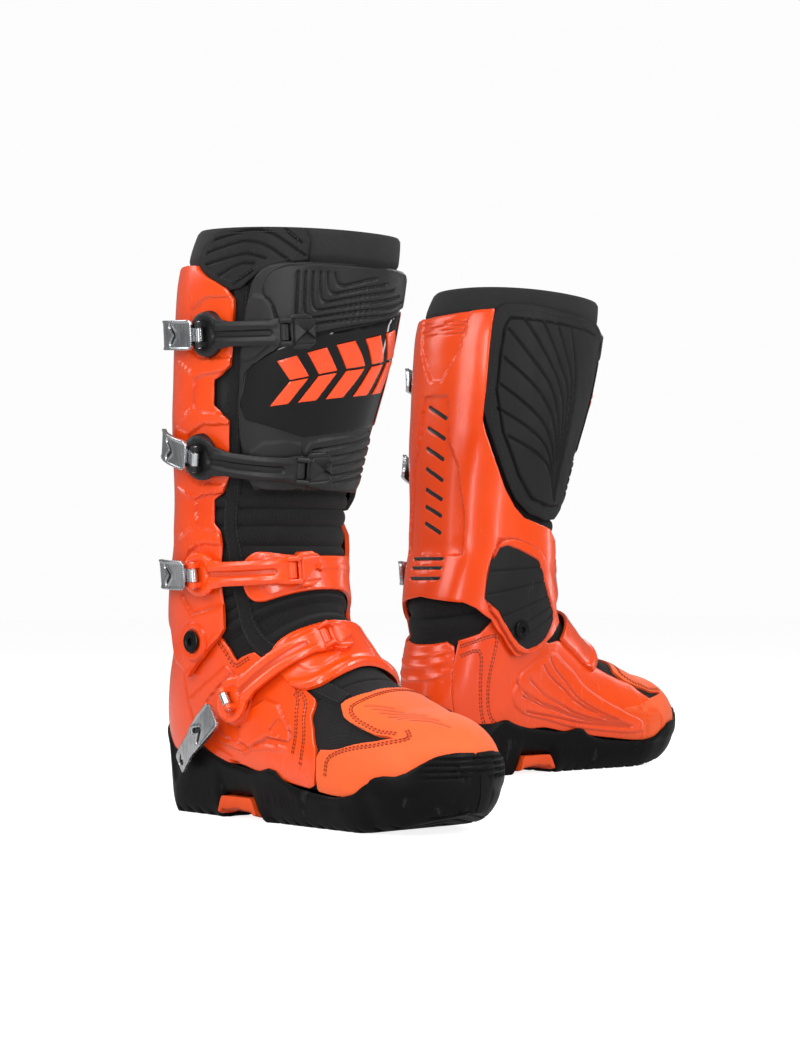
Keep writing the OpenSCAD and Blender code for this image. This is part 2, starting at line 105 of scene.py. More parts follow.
SECTIONS = np.array([
    leg(409, 56, 199, 63, .065), leg(393, 47, 196.5, 64.5, .05), leg(376, 41, 193, 65.5, .03),
    leg(354, 38, 188, 65, .01), leg(333, 36, 182, 64), leg(310, 34, 174.5, 62), leg(288, 32, 166, 60),
    leg(266, 30.5, 158.5, 57), leg(244, 30, 152, 54), leg(226, 29.5, 147, 52), leg(208, 29, 144, 51),
    fan(0, 80, 197, 50, .5, 2.2, 2.2), fan(9.4, 79, 207.8, 48, .5, 2.2, 2.2),
    fan(18.7, 78.5, 221.7, 46, .47, 2.2, 2.2), fan(24.6, 78.5, 239.8, 45, .45, 2.2, 2.2),
    fan(30.6, 79, 255.5, 44, .43, 2.2, 2.3), fan(36, 79, 261, 43, .43, 2.2, 2.5),
    fan(40, 79, 254.5, 43, .45, 2.2, 2.8), fan(44, 79.5, 237, 42.5, .48, 2.2, 3.1),
    fan(52.7, 81, 206.2, 43, .55, 2.2, 3.5), fan(60, 83, 189.5, 44.5, .62, 2.1, 3.8),
    fan(70, 87, 176, 46.5, .68, 2.1, 4), fan(80, 92, 169.7, 49, .72, 2.1, 4, 1),
    fan(90, 98, 169, 51, .74, 2.1, 4, 2), ball(234, 88, 21.2, 51.5, .75, 2.1, 4, 2.6),
    ball(244, 83, 21.6, 51.5, .75, 2.2, 3.8, 3.4), *[toe(turn) for turn in range(0, 91, 15)]], float)
LAST = len(SECTIONS) - 1


def section(s):
    """The section at a station, on a smooth curve through the listed ones."""
    s = np.clip(s, 0, LAST)
    i = np.clip(np.floor(s).astype(int), 0, LAST - 1)
    t = (s - i)[..., None]
    b, c = SECTIONS[i], SECTIONS[i + 1]
    a = np.where((i > 0)[..., None], SECTIONS[i - 1], 2 * b - c)
    d = np.where((i < LAST - 1)[..., None], SECTIONS[np.minimum(i + 2, LAST)], 2 * c - b)
    return (2 * b + (c - a) * t + (2 * a - 5 * b + 4 * c - d) * t ** 2 + (3 * b - a - 3 * c + d) * t ** 3) / 2


def form(s, t, off=0.0):
    """The point in boot millimetres at a station, an angle and an offset."""
    s, t, off = np.broadcast_arrays(np.asarray(s, float), np.asarray(t, float), np.asarray(off, float))
    q = section(s)
    a = np.radians(t)
    c, sn = np.cos(a), np.sin(a)
    d = q[..., 2:4] / np.linalg.norm(q[..., 2:4], axis=-1, keepdims=True)
    w = np.maximum(q[..., 6] + q[..., 12] * off, 0)
    low, high = q[..., 4] - q[..., 12] * off, q[..., 5] + q[..., 12] * off
    crest = q[..., 4] + q[..., 7] * (q[..., 5] - q[..., 4])
    power = 2 / np.where(c >= 0, q[..., 8], q[..., 9])
    reach = np.abs(c) ** power
    e = np.where(c >= 0, crest - (crest - low) * reach, crest + (high - crest) * reach)
    y = np.sign(sn) * w * np.abs(sn) ** power + q[..., 10]
    return np.stack([q[..., 0] + d[..., 0] * e + q[..., 11] * off, y, q[..., 1] + d[..., 1] * e], -1)


def smooth(x):
    x = np.clip(x, 0, 1)
    return x * x * (3 - 2 * x)


def mix(a, b, t):
    return a + (b - a) * t


# ---- Lines on the form ----

def bent(line, times, closed=False):
    """The line with its corners cut, so that they come out round."""
    p = np.asarray(line, float)
    for _ in range(times):
        q = np.vstack([p, p[:1]]) if closed else p
        a, b = q[:-1] * .75 + q[1:] * .25, q[:-1] * .25 + q[1:] * .75
        cut = np.stack([a, b], 1).reshape(-1, p.shape[1])
        p = cut if closed else np.vstack([p[:1], cut[1:-1], p[-1:]])
    return p


def evenly(points, pitch):
    """The same polyline with a point every pitch millimetres."""
    step = np.linalg.norm(np.diff(points, axis=0), axis=1)
    length = np.concatenate([[0], np.cumsum(step)])
    n = max(int(round(length[-1] / pitch)), 1)
    at = np.linspace(0, length[-1], n + 1)
    return np.stack([np.interp(at, length, points[:, k]) for k in range(points.shape[1])], 1)


def fine(line, n=12):
    """The same polyline with n points for each one."""
    p = np.asarray(line, float)
    t = np.linspace(0, len(p) - 1, (len(p) - 1) * n + 1)
    return np.stack([np.interp(t, np.arange(len(p)), p[:, k]) for k in range(p.shape[1])], 1)


TRACE_PITCH = .8  # millimetres between the points of a traced line
STATION_STEP, ANGLE_STEP = .05, .5  # steps either side of a place that give the surface's direction


def trace(line, off, pitch=TRACE_PITCH, bend=0, closed=False, surface=form, aside=0.0):
    """Points in space along a line of places, with the directions along, out and across. aside moves them sideways."""
    p = bent(line, bend, closed)
    if closed:
        p = np.vstack([p, p[:1]])
    chart = fine(p)
    chart = evenly(np.hstack([surface(chart[:, 0], chart[:, 1], off), chart]), pitch)[:, 3:]
    s, t = chart[:, 0], chart[:, 1]
    at = surface(s, t, off)
    along = np.gradient(at, axis=0) if len(at) > 1 else np.zeros_like(at)
    along /= np.linalg.norm(along, axis=1, keepdims=True) + 1e-9
    out = np.cross(surface(s + STATION_STEP, t, off) - surface(s - STATION_STEP, t, off),
                   surface(s, t + ANGLE_STEP, off) - surface(s, t - ANGLE_STEP, off))
    out /= np.linalg.norm(out, axis=1, keepdims=True) + 1e-9
    out *= np.sign(np.sum(out * (surface(s, t, off + 1.0) - at), 1, keepdims=True) + 1e-9)
    across = np.cross(out, along)
    return at + across * aside, along, out, across


def near(points, curve):
    """Distance of each point from the nearest point of a curve."""
    flat = points.reshape(-1, 3)
    best = np.full(len(flat), 1e12)
    size = np.sum(flat * flat, 1)
    for k in range(0, len(curve), 96):
        c = curve[k:k + 96]
        d = size[:, None] + np.sum(c * c, 1)[None] - 2 * flat @ c.T
        np.minimum(best, d.min(1), out=best)
    return np.sqrt(np.maximum(best, 0)).reshape(points.shape[:-1])


def inside(s, t, outline):
    """Whether each place lies in a closed outline of places."""
    found = np.zeros(s.shape, bool)
    for (s0, t0), (s1, t1) in zip(outline, np.roll(outline, -1, 0)):
        if t0 != t1:
            found ^= ((t0 > t) != (t1 > t)) & (s < (s1 - s0) * (t - t0) / (t1 - t0) + s0)
    return found


# ---- Marks: what is moulded into a panel. Each gives a height, a share of painted shade and a share of dark fill ----

DARK_FILL_FADE = 4  # millimetres over which a dark fill share goes from 0 to 1; the shader keeps its middle

def stroke(lines, width, height, bend, ink):
    """A rounded ridge along lines of places, or a groove where its height is below 0."""
    def mark(points, s, t, off, surface):
        d = near(points, np.vstack([trace(line, off, bend=bend, surface=surface)[0] for line in lines]))
        share = np.clip(1 - (d / (width * .62)) ** 2, 0, 1) ** 1.2
        # painted shade: a groove darkens across its width; a ridge does not
        dark = share if height < 0 else 0 * d
        return height * share, dark, np.clip(.5 + (width / 2 - d) / DARK_FILL_FADE, 0, 1) if ink else 0 * d
    return mark


def groove(lines, width=1.8, depth=.9, bend=2, ink=False):
    return stroke(lines, width, -depth, bend, ink)


def ridge(lines, width=2.4, height=.9, bend=2):
    return stroke(lines, width, height, bend, False)


def area(outline, height, soft=1.6, bend=1):
    """A raised or sunken area. soft is the width of the slope at its edge."""
    def mark(points, s, t, off, surface):
        edge = bent(outline, bend, True)
        d = near(points, trace(outline, off, bend=bend, closed=True, surface=surface)[0])
        d = np.where(inside(s, t, edge), d, -d)
        share = smooth(.5 + d / soft)
        # painted shade: a dark band along the area's edge, either side of its slope
        dark = np.exp(-(d / 1.1) ** 2) * .55
        return height * share, dark, 0 * d
    return mark


def field(function):
    """A mark from a function of the points, stations and angles that gives a height and a share of painted shade."""
    def mark(points, s, t, off, surface):
        high, cavity = function(points, s, t)
        return high, cavity, 0 * s
    return mark


# ---- Solids ----

class Solid:
    """Points, faces and shading values of one piece, in boot millimetres."""

    def __init__(self):
        self.points, self.faces, self.uv, self.cavity, self.ink, self.paint, self.count = [], [], [], [], [], [], 0

    def add(self, points, faces, uv=None, cavity=None, ink=None):
        """faces is a list of arrays of point numbers; uv is one list of corner values for each."""
        n = len(points)
        self.points.append(points)
        self.cavity.append(np.zeros(n) if cavity is None else np.broadcast_to(cavity, n))
        self.ink.append(np.zeros(n) if ink is None else np.broadcast_to(ink, n))
        for k, f in enumerate(faces):
            f = np.asarray(f)
            self.faces.append(f + self.count)
            self.uv.append(np.zeros((*f.shape, 2)) if uv is None else uv[k])
            self.paint.append(np.zeros(len(f), int))
        self.count += n
        return self

    def join(self, other, paint=None):
        """Takes in another solid. paint is the number of its material, where that is not the one it has."""
        base = self.count
        self.points += other.points
        self.cavity += other.cavity
        self.ink += other.ink
        self.faces += [f + base for f in other.faces]
        self.uv += other.uv
        self.paint += [p if paint is None else np.full(len(p), paint) for p in other.paint]
        self.count += other.count
        return self


WALL_MAP = [0, 2]  # the height that a wall between two skins takes up in the surface map


def skin(outer, inner, cavity, ink, ring=False, tip=False):
    """Closed solid between two grids of points of the same size.

    A ring closes on itself along its rows. A tip draws the last row together in one point on each face.
    """
    m, k = outer.shape[:2]
    j = np.arange(k if ring else k - 1)
    i = np.arange(m - 1)[:, None]
    a, b = i * k + j, i * k + (j + 1) % k
    quads = np.stack([a, b, b + k, a + k], -1).reshape(-1, 4)
    down = np.linalg.norm(np.diff(outer, axis=0), axis=2).mean(1)
    closed = np.concatenate([outer, outer[:, :1]], 1)
    step = np.linalg.norm(np.diff(closed, axis=1), axis=2)
    u = np.concatenate([np.zeros((m, 1)), np.cumsum(step, 1)], 1)
    u -= u[:, k // 2:k // 2 + 1]
    v = np.concatenate([[0], np.cumsum(down)])[:, None] + 0 * u
    uv = np.stack([u, v], -1)
    corner = np.stack([uv[:-1, j], uv[:-1, j + 1], uv[1:, j + 1], uv[1:, j]], 2).reshape(-1, 4, 2)
    base = m * k
    faces, maps = [quads, quads[:, ::-1] + base], [corner, corner[:, ::-1]]

    def wall(line, c):
        line = np.asarray(line)
        f = np.stack([line[1:], line[:-1], line[:-1] + base, line[1:] + base], 1)
        faces.append(f)
        p, q = c[1:], c[:-1]
        maps.append(np.stack([p, q, q + WALL_MAP, p + WALL_MAP], 1))

    around = [*j, (j[-1] + 1) % k]
    end = (m - 1) * k
    wall(around, uv[0, :len(j) + 1])
    if tip:
        n = 2 * m * k
        nxt = (j + 1) % k
        faces += [np.stack([end + j, end + nxt, np.full(len(j), n)], 1),
                  np.stack([base + end + nxt, base + end + j, np.full(len(j), n + 1)], 1)]
        maps += [np.zeros((len(j), 3, 2))] * 2
        if not ring:
            last = end + k - 1
            faces.append(np.array([[end, n, n + 1], [base + end, end, n + 1],
                                   [n, last, n + 1], [last, base + last, n + 1]]))
            maps.append(np.zeros((4, 3, 2)))
    else:
        wall([end + x for x in around][::-1], uv[-1, :len(j) + 1][::-1])
    if not ring:
        wall((np.arange(m) * k)[::-1], uv[::-1, 0])
        wall(np.arange(m) * k + k - 1, uv[:, k - 1])
    points = np.concatenate([outer.reshape(-1, 3), inner.reshape(-1, 3)])
    cavity = np.concatenate([cavity.ravel(), cavity.ravel() * 0])
    ink = np.concatenate([ink.ravel(), ink.ravel() * 0])
    if tip:
        points = np.concatenate([points, [outer[-1].mean(0), inner[-1].mean(0)]])
        cavity, ink = np.append(cavity, [0, 0]), np.append(ink, [0, 0])
    # the faces turn the right way round when the first quad looks away from the inner grid
    c = outer[m // 2:m // 2 + 2, k // 2:k // 2 + 2]
    look = np.cross(c[0, 1] - c[0, 0], c[1, 1] - c[0, 0])
    if look @ (outer[m // 2, k // 2] - inner[m // 2, k // 2]) < 0:
        faces, maps = [f[:, ::-1] for f in faces], [c[:, ::-1] for c in maps]
    return Solid().add(points, faces, maps, cavity, ink)


def grid_normals(p, ring):
    dj = np.roll(p, -1, 1) - np.roll(p, 1, 1) if ring else np.gradient(p, axis=1)
    n = np.cross(np.gradient(p, axis=0), dj)
    return n / (np.linalg.norm(n, axis=2, keepdims=True) + 1e-9)


def panel(grid, low, high, marks=(), edge=1.1, ring=False, tip=False, surface=form, under=None):
    """A skin over a grid of places between two offsets, with marks on its outer face and its edges rounded."""
    s, t = grid
    outer, inner = surface(s, t, high), (under or surface)(s, t, low)
    turn = grid_normals(outer, ring)
    turn *= np.sign(np.sum(turn * (outer - inner), 2).mean())
    height, cavity, ink = 0 * s, 0 * s, 0 * s
    middle = float(np.mean(high))
    for mark in marks:
        h, c, k = mark(outer, s, t, middle, surface)
        height, cavity, ink = height + h, np.maximum(cavity, c), np.maximum(ink, k)
    if edge:
        if ring:
            rim = [outer[0]]
        else:
            apart = np.linalg.norm(outer[:, 0] - outer[:, -1], axis=1) > .5
            rim = [outer[0], outer[apart, 0], outer[apart, -1]]
        rim += [] if tip else [outer[-1]]
        d = np.clip(near(outer, np.vstack([evenly(r, .7) for r in rim])) / edge, 0, 1)
        height = height - edge * (1 - np.sqrt(1 - (1 - d) ** 2)) * .8
    return skin(outer + turn * height[..., None], inner, cavity, ink, ring, tip)


GRID_OFF = 5.0  # the offset at which the pitch of a grid holds
LINE_PARTS, ROW_SAMPLES, COL_SAMPLES = 8, 161, 101  # samples from which a grid is spaced out


def rows_grid(rows, pitch, middle, round_off=0):
    """Grid of places from rows of station, first angle and last angle, about pitch millimetres apart.

    middle is the angle at which the rows are measured apart.
    """
    r = fine(bent(rows, round_off), LINE_PARTS)
    at = form(r[:, 0], middle, GRID_OFF)
    r = evenly(np.hstack([at, r]), pitch)[:, 3:]
    u = np.linspace(0, 1, ROW_SAMPLES)
    s = np.repeat(r[:, :1], ROW_SAMPLES, 1)
    t = r[:, 1:2] + (r[:, 2:3] - r[:, 1:2]) * u
    step = np.linalg.norm(np.diff(form(s, t, GRID_OFF), axis=1), axis=2)
    length = np.concatenate([np.zeros((len(r), 1)), np.cumsum(step, 1)], 1)
    n = max(int(length[:, -1].max() / pitch), 4)
    even = np.stack([np.interp(np.linspace(0, l[-1], n + 1), l, row) for l, row in zip(length, t)])
    return np.repeat(r[:, :1], n + 1, 1), even


def cols_grid(cols, pitch, round_off=0, warp=None):
    """Grid of places from columns of angle, top station and bottom station, about pitch millimetres apart."""
    c = fine(bent(cols, round_off), LINE_PARTS)
    at = form((c[:, 1] + c[:, 2]) / 2, c[:, 0], GRID_OFF)
    c = evenly(np.hstack([at, c]), pitch)[:, 3:]
    u = np.linspace(0, 1, COL_SAMPLES)[:, None]
    s = c[:, 1] + (c[:, 2] - c[:, 1]) * u
    t = np.repeat(c[None, :, 0], COL_SAMPLES, 0)
    step = np.linalg.norm(np.diff(form(s, t, GRID_OFF), axis=0), axis=2)
    length = np.concatenate([np.zeros((1, len(c))), np.cumsum(step, 0)])
    n = max(int(length[-1].max() / pitch), 4)
    even = np.stack([np.interp(np.linspace(0, l[-1], n + 1), l, col) for l, col in zip(length.T, s.T)], 1)
    t = np.repeat(c[None, :, 0], n + 1, 0)
    return even, t if warp is None else warp(even, t)


def cell(corners, n):
    """Grid of places between four corners: upper left, upper right, lower right and lower left."""
    a, b, c, d = (np.array(x, float) for x in corners)
    v, u = np.meshgrid(np.linspace(0, 1, n), np.linspace(0, 1, n), indexing="ij")
    at = mix(mix(a, b, u[..., None]), mix(d, c, u[..., None]), v[..., None])
    return at[..., 0], at[..., 1]


def strip(line, width, low, high, relief):
    """A strip laid along a line of places. It bends down to both sides with a radius of bow millimetres."""
    bow = 45
    at, _, out, across = trace(line, 0, 1.4, 2)
    v = np.linspace(-width / 2, width / 2, max(int(width / 1.2), 6))
    crown = np.sqrt(np.clip(1 - (np.abs(v) / (width / 2)) ** 6, 0, 1))
    drop = v ** 2 / (2 * bow)
    height, cavity = relief(v)
    flat = at[:, None] + across[:, None] * v[None, :, None]
    top = flat + out[:, None] * (mix(low + .4, high, crown) + height - drop)[None, :, None]
    bottom = flat + out[:, None] * (low - drop)[None, :, None]
    return skin(top, bottom, np.broadcast_to(cavity, top.shape[:2]), np.zeros(top.shape[:2]))


def ring_grid(first, last, pitch, n):
    """Grid of places right round the boot between two stations, n of them in each ring."""
    off, side_angle = 3.0, -60
    s = np.linspace(first, last, 400)
    at = form(s, side_angle, off)
    s = evenly(np.hstack([at, s[:, None]]), pitch)[:, 3]
    u = np.linspace(-180, 180, 721)
    grid_t = []
    for x in s:
        step = np.linalg.norm(np.diff(form(x, u, off), axis=0), axis=1)
        length = np.concatenate([[0], np.cumsum(step)])
        grid_t.append(np.interp(np.linspace(0, length[-1], n + 1), length, u)[:-1])
    return np.repeat(s[:, None], n, 1), np.array(grid_t)


def stacked(rings, n):
    """The quads between rings of n points each, and the two faces that close the ends."""
    i, j = np.arange(rings - 1)[:, None] * n, np.arange(n)
    quads = np.stack([i + j, i + (j + 1) % n, i + n + (j + 1) % n, i + n + j], -1).reshape(-1, 4)
    return [quads, np.arange(n)[None, ::-1], (rings - 1) * n + np.arange(n)[None]]


def stitches(lines, off, bend=2, aside=0.0):
    """Threads sewn along lines of places, each with five rings of six points."""
    length, gap, thick, sides = 2.5, 1.0, .5, 6
    shape = np.array([.35, .9, 1.0, .9, .35])
    rise = np.array([-.12, .06, .12, .06, -.12])
    k = np.linspace(-.5, .5, 5) * length
    a = np.arange(sides) * 2 * math.pi / sides
    solid = Solid()
    for line in lines:
        at, along, out, across = trace(line, off, (length + gap) / 4, bend, aside=aside)
        c, al, o, ac = (x[2:-2:4] for x in (at, along, out, across))
        if not len(c):
            continue
        mid = c[:, None] + al[:, None] * k[None, :, None] + o[:, None] * rise[None, :, None]
        ring = np.cos(a)[:, None] * ac[:, None, None] + np.sin(a)[:, None] * o[:, None, None]
        points = (mid[:, :, None] + ring * (shape * thick)[None, :, None, None]).reshape(-1, 3)
        base = np.arange(len(c))[:, None, None] * 5 * sides
        quads, first, last = ((base + f).reshape(-1, f.shape[1])[:, ::-1] for f in stacked(5, sides))
        solid.add(points, [quads, np.concatenate([first, last])])
    return solid


def sewn_twice(line, off, aside):
    return stitches([line], off, aside=aside).join(stitches([line], off, aside=-aside))


def lathe(centre, axis, profile, facets=()):
    """A turned solid: profile is a list of radius and distance along the axis. The ends close at the axis.

    The profile points numbered in facets make a hexagonal socket.
    """
    n = 48
    axis = np.asarray(axis, float) / np.linalg.norm(axis)
    u = np.cross(axis, [0, 0, 1.0] if abs(axis[2]) < .9 else [1.0, 0, 0])
    u /= np.linalg.norm(u)
    v = np.cross(axis, u)
    a = np.arange(n) * 2 * math.pi / n
    spoke = np.cos(a)[:, None] * u + np.sin(a)[:, None] * v
    hexagon = math.cos(math.pi / 6) / np.cos((a + math.pi / 6) % (math.pi / 3) - math.pi / 6)
    points = []
    for k, (r, h) in enumerate(profile):
        radius = r * hexagon if k in facets else np.full(n, float(r))
        points.append(np.asarray(centre, float) + axis * h + radius[:, None] * spoke)
    return Solid().add(np.concatenate(points), stacked(len(profile), n))


# ---- Materials ----

class Tree:
    """Short calls for making shader nodes."""

    def __init__(self, name):
        self.material = bpy.data.materials.new(name)
        self.material.use_nodes = True
        self.nodes, self.links = self.material.node_tree.nodes, self.material.node_tree.links
        self.shader = self.nodes["Principled BSDF"]

    def node(self, kind, settings=None, **inputs):
        n = self.nodes.new("ShaderNode" + kind)
        for key, value in (settings or {}).items():
            setattr(n, key, value)
        for key, value in inputs.items():
            self.put(n, key.replace("_", " "), value)
        return n

    def put(self, node, key, value):
        socket = node.inputs[int(key[3:])] if key.startswith("at ") else node.inputs[key]
        if isinstance(value, bpy.types.NodeSocket):
            self.links.new(value, socket)
        else:
            socket.default_value = value

    def maths(self, how, a, b=0.0, c=None):
        n = self.nodes.new("ShaderNodeMath")
        n.operation = how
        for k, v in enumerate((a, b, c)):
            if v is not None:
                self.put(n, f"at {k}", v)
        return n.outputs[0]

    def mixed(self, share, a, b, how="MIX"):
        n = self.nodes.new("ShaderNodeMix")
        n.data_type, n.blend_type = "RGBA", how
        self.put(n, "at 0", share)
        self.put(n, "at 6", a)
        self.put(n, "at 7", b)
        return n.outputs[2]

    def ramp(self, value, low, high, to_low=0.0, to_high=1.0):
        n = self.node("MapRange", {"interpolation_type": "SMOOTHSTEP"}, Value=value)
        for key, v in zip(("From Min", "From Max", "To Min", "To Max"), (low, high, to_low, to_high)):
            n.inputs[key].default_value = v
        return n.outputs[0]

    def noise(self, scale, detail=3.0, rough=.55, stretch=None):
        where = self.node("TexCoord").outputs["Object"]
        if stretch is not None:
            where = self.node("Mapping", Vector=where, Scale=stretch).outputs[0]
        return self.node("TexNoise", Vector=where, Scale=scale, Detail=detail, Roughness=rough).outputs["Fac"]

    def value_of(self, name):
        return self.node("Attribute", {"attribute_name": name}).outputs["Fac"]


def linear(code):
    """A web colour as linear red, green, blue and alpha."""
    c = np.array([int(code[k:k + 2], 16) for k in (0, 2, 4)]) / 255
    return (*np.where(c <= .04045, c / 12.92, ((c + .055) / 1.055) ** 2.4), 1.0)


def moulded(name, light, dark, rough, grain_mm=.5, grain=.05, spread=.25, coat=0.0, wear=0.0, metal=0.0, shine=.5,
            deep=.62):
    """Moulded plastic or rubber: cloudy colour, painted shade in the hollows, fine grain and uneven gloss.

    grain_mm and grain are the size and strength of the grain, spread the unevenness of the gloss, wear the share of
    paler scuffs, deep how dark the painted shade in the hollows gets.
    """
    m = Tree(name)
    cloud = m.noise(9, 4)
    fine_grain = m.noise(1 / (grain_mm * MM), 2, .6)
    scuff = m.noise(60, 6, .7, stretch=(1, 1, .25))
    colour = m.mixed(m.ramp(cloud, .3, .7), linear(dark), linear(light))
    # painted shade: hollows, grooves and creases darken towards a brownish black
    colour = m.mixed(m.ramp(m.value_of("cavity"), 0, 1, 0, deep), colour,
                     m.mixed(1.0, colour, (.22, .16, .15, 1), "MULTIPLY"))
    # the middle of slots and grooves so marked is filled near black
    colour = m.mixed(m.ramp(m.value_of("ink"), .47, .53), colour, linear("121213"))
    if wear:
        colour = m.mixed(m.ramp(scuff, .62, .75, 0, wear), colour, m.mixed(.5, colour, (.8, .8, .8, 1)))
    m.put(m.shader, "Base Color", colour)
    gloss = m.maths("MULTIPLY_ADD", m.ramp(scuff, .3, .75), spread * rough, rough * (1 - spread / 2))
    m.put(m.shader, "Roughness", m.maths("MULTIPLY_ADD", m.value_of("cavity"), .15, gloss))
    bump = m.node("Bump", Strength=grain, Distance=.0004, Height=fine_grain)
    wave = m.node("Bump", Strength=.12, Distance=.0012, Height=m.noise(35, 2), Normal=bump.outputs[0])
    m.put(m.shader, "Normal", wave.outputs[0])
    if coat:
        m.shader.inputs["Coat Weight"].default_value = coat
        m.shader.inputs["Coat Roughness"].default_value = .12
    m.shader.inputs["Metallic"].default_value = metal
    m.shader.inputs["Specular IOR Level"].default_value = shine
    return m.material


def woven(name, light, dark, pitch, rough=.82, strength=.55):
    """Ribbed cloth: threads over and under each other, with lint and a soft sheen."""
    m = Tree(name)
    uv = m.node("UVMap", {"uv_map": "Surface"}).outputs[0]
    warp, weft = (m.node("TexWave", {"wave_type": "BANDS", "bands_direction": way}, Vector=uv,
                         Scale=314 / pitch / part, Distortion=.6, Detail=1.0).outputs["Fac"]
                  for way, part in (("X", 10), ("Y", 7)))
    cloth = m.maths("MULTIPLY", warp, weft)
    fuzz = m.noise(900, 3, .7)
    cloud = m.noise(30, 3)
    tone = m.maths("MULTIPLY_ADD", fuzz, .5, m.maths("MULTIPLY", cloth, .6))
    colour = m.mixed(m.ramp(tone, .15, .85), linear(dark), linear(light))
    colour = m.mixed(m.ramp(cloud, .35, .7, 0, .35), colour, m.mixed(1.0, colour, (.6, .6, .6, 1), "MULTIPLY"))
    # painted shade: creases, channels and hollows in the cloth darken towards black
    colour = m.mixed(m.ramp(m.value_of("cavity"), 0, 1, 0, .7), colour, (.004, .004, .004, 1))
    m.put(m.shader, "Base Color", colour)
    m.put(m.shader, "Roughness", m.ramp(cloth, 0, 1, rough + .1, rough - .06))
    bump = m.node("Bump", Strength=strength, Distance=.0005, Height=m.maths("MULTIPLY_ADD", fuzz, .4, cloth))
    m.put(m.shader, "Normal", bump.outputs[0])
    m.shader.inputs["Sheen Weight"].default_value = .06
    m.shader.inputs["Sheen Roughness"].default_value = .5
    m.shader.inputs["Specular IOR Level"].default_value = .2
    return m.material


def hide(name, light, dark):
    """Microfibre: a fine pebbled grain with creases."""
    rough = .6
    m = Tree(name)
    place = m.node("TexCoord").outputs["Object"]
    pebble = m.node("TexVoronoi", {"feature": "DISTANCE_TO_EDGE"}, Vector=place, Scale=900.0,
                    Randomness=.9).outputs["Distance"]
    cloud = m.noise(14, 5)
    colour = m.mixed(m.ramp(cloud, .3, .72), linear(dark), linear(light))
    colour = m.mixed(m.ramp(pebble, 0, .12, .12, 0), colour, m.mixed(1.0, colour, (.5, .42, .4, 1), "MULTIPLY"))
    # painted shade: hollows and seam grooves darken
    colour = m.mixed(m.ramp(m.value_of("cavity"), 0, 1, 0, .6), colour,
                     m.mixed(1.0, colour, (.3, .2, .2, 1), "MULTIPLY"))
    m.put(m.shader, "Base Color", colour)
    m.put(m.shader, "Roughness", m.maths("MULTIPLY_ADD", m.noise(50, 4), .14, rough - .07))
    grain = m.node("Bump", Strength=.25, Distance=.0003, Height=m.ramp(pebble, 0, .2))
    crease = m.node("Bump", Strength=.2, Distance=.001, Height=m.noise(70, 5, .6), Normal=grain.outputs[0])
    m.put(m.shader, "Normal", crease.outputs[0])
    m.shader.inputs["Sheen Weight"].default_value = .1
    return m.material


def brushed(name, light, dark, rough):
    """Aluminium with fine brush lines and worn patches."""
    m = Tree(name)
    lines = m.noise(700, 3, .6, stretch=(1, 1, .06))
    patch = m.noise(80, 4)
    tone = m.maths("MULTIPLY_ADD", lines, .5, m.maths("MULTIPLY", patch, .5))
    colour = m.mixed(m.ramp(tone, .3, .7), linear(dark), linear(light))
    # painted shade: the lever's windows are shallow recesses filled near black and not metallic, as the shade of a
    # cut-through
    hole = m.ramp(m.value_of("ink"), .3, .6)
    m.put(m.shader, "Base Color", m.mixed(hole, colour, linear("0C0C0D")))
    m.put(m.shader, "Metallic", m.maths("SUBTRACT", 1.0, hole))
    m.put(m.shader, "Roughness", m.maths("MULTIPLY_ADD", lines, .2, rough - .1))
    m.put(m.shader, "Normal", m.node("Bump", Strength=.15, Distance=.0002, Height=lines).outputs[0])
    return m.material


ORANGE = moulded("orange_tpu", "F54E10", "E9430A", .25, .6, .06, .35, coat=.2, wear=.05, shine=.5, deep=.4)
ORANGE_RUBBER = moulded("orange_rubber", "F65E24", "E24C18", .5, .4, .12, shine=.3)
MICROFIBRE = hide("orange_microfibre", "FB661E", "F35A16")
SOLE_RUBBER = moulded("sole_rubber", "090909", "060607", .46, .5, .16, .3, wear=.1, shine=.12)
RUBBER = moulded("black_rubber", "171718", "121213", .6, .35, .3, .2, wear=.05, shine=.25)
PLASTIC = moulded("black_plastic", "1C1C1D", "161617", .42, .3, .22, .25, wear=.05, shine=.35)
GLOSS = moulded("gloss_black", "020203", "010102", .04, .6, .01, .3, shine=.3)
CLOTH = woven("black_fabric", "303031", "060607", 1.0)
# painted light: the lining is a paler copy of the black fabric, for the light that falls on the collar's top; the
# insole shares it
LIT_LINING = woven("black_lining_lit", "39393A", "222223", .8, .88, .35)
THREAD_BLACK = woven("black_thread", "565657", "2A2A2B", .5)
THREAD_ORANGE = woven("orange_thread", "C4461A", "96300E", .5)
SCREW = moulded("black_metal", "121214", "0E0E10", .35, .5, .05, metal=.6)
ALUMINIUM = brushed("aluminium", "DADCDE", "ACAFB3", .26)

# ---- Making the pieces ----

MAP_SCALE = .01  # surface map units per millimetre
SHARP = math.radians(38)  # edges that bend more than this are shaded sharp


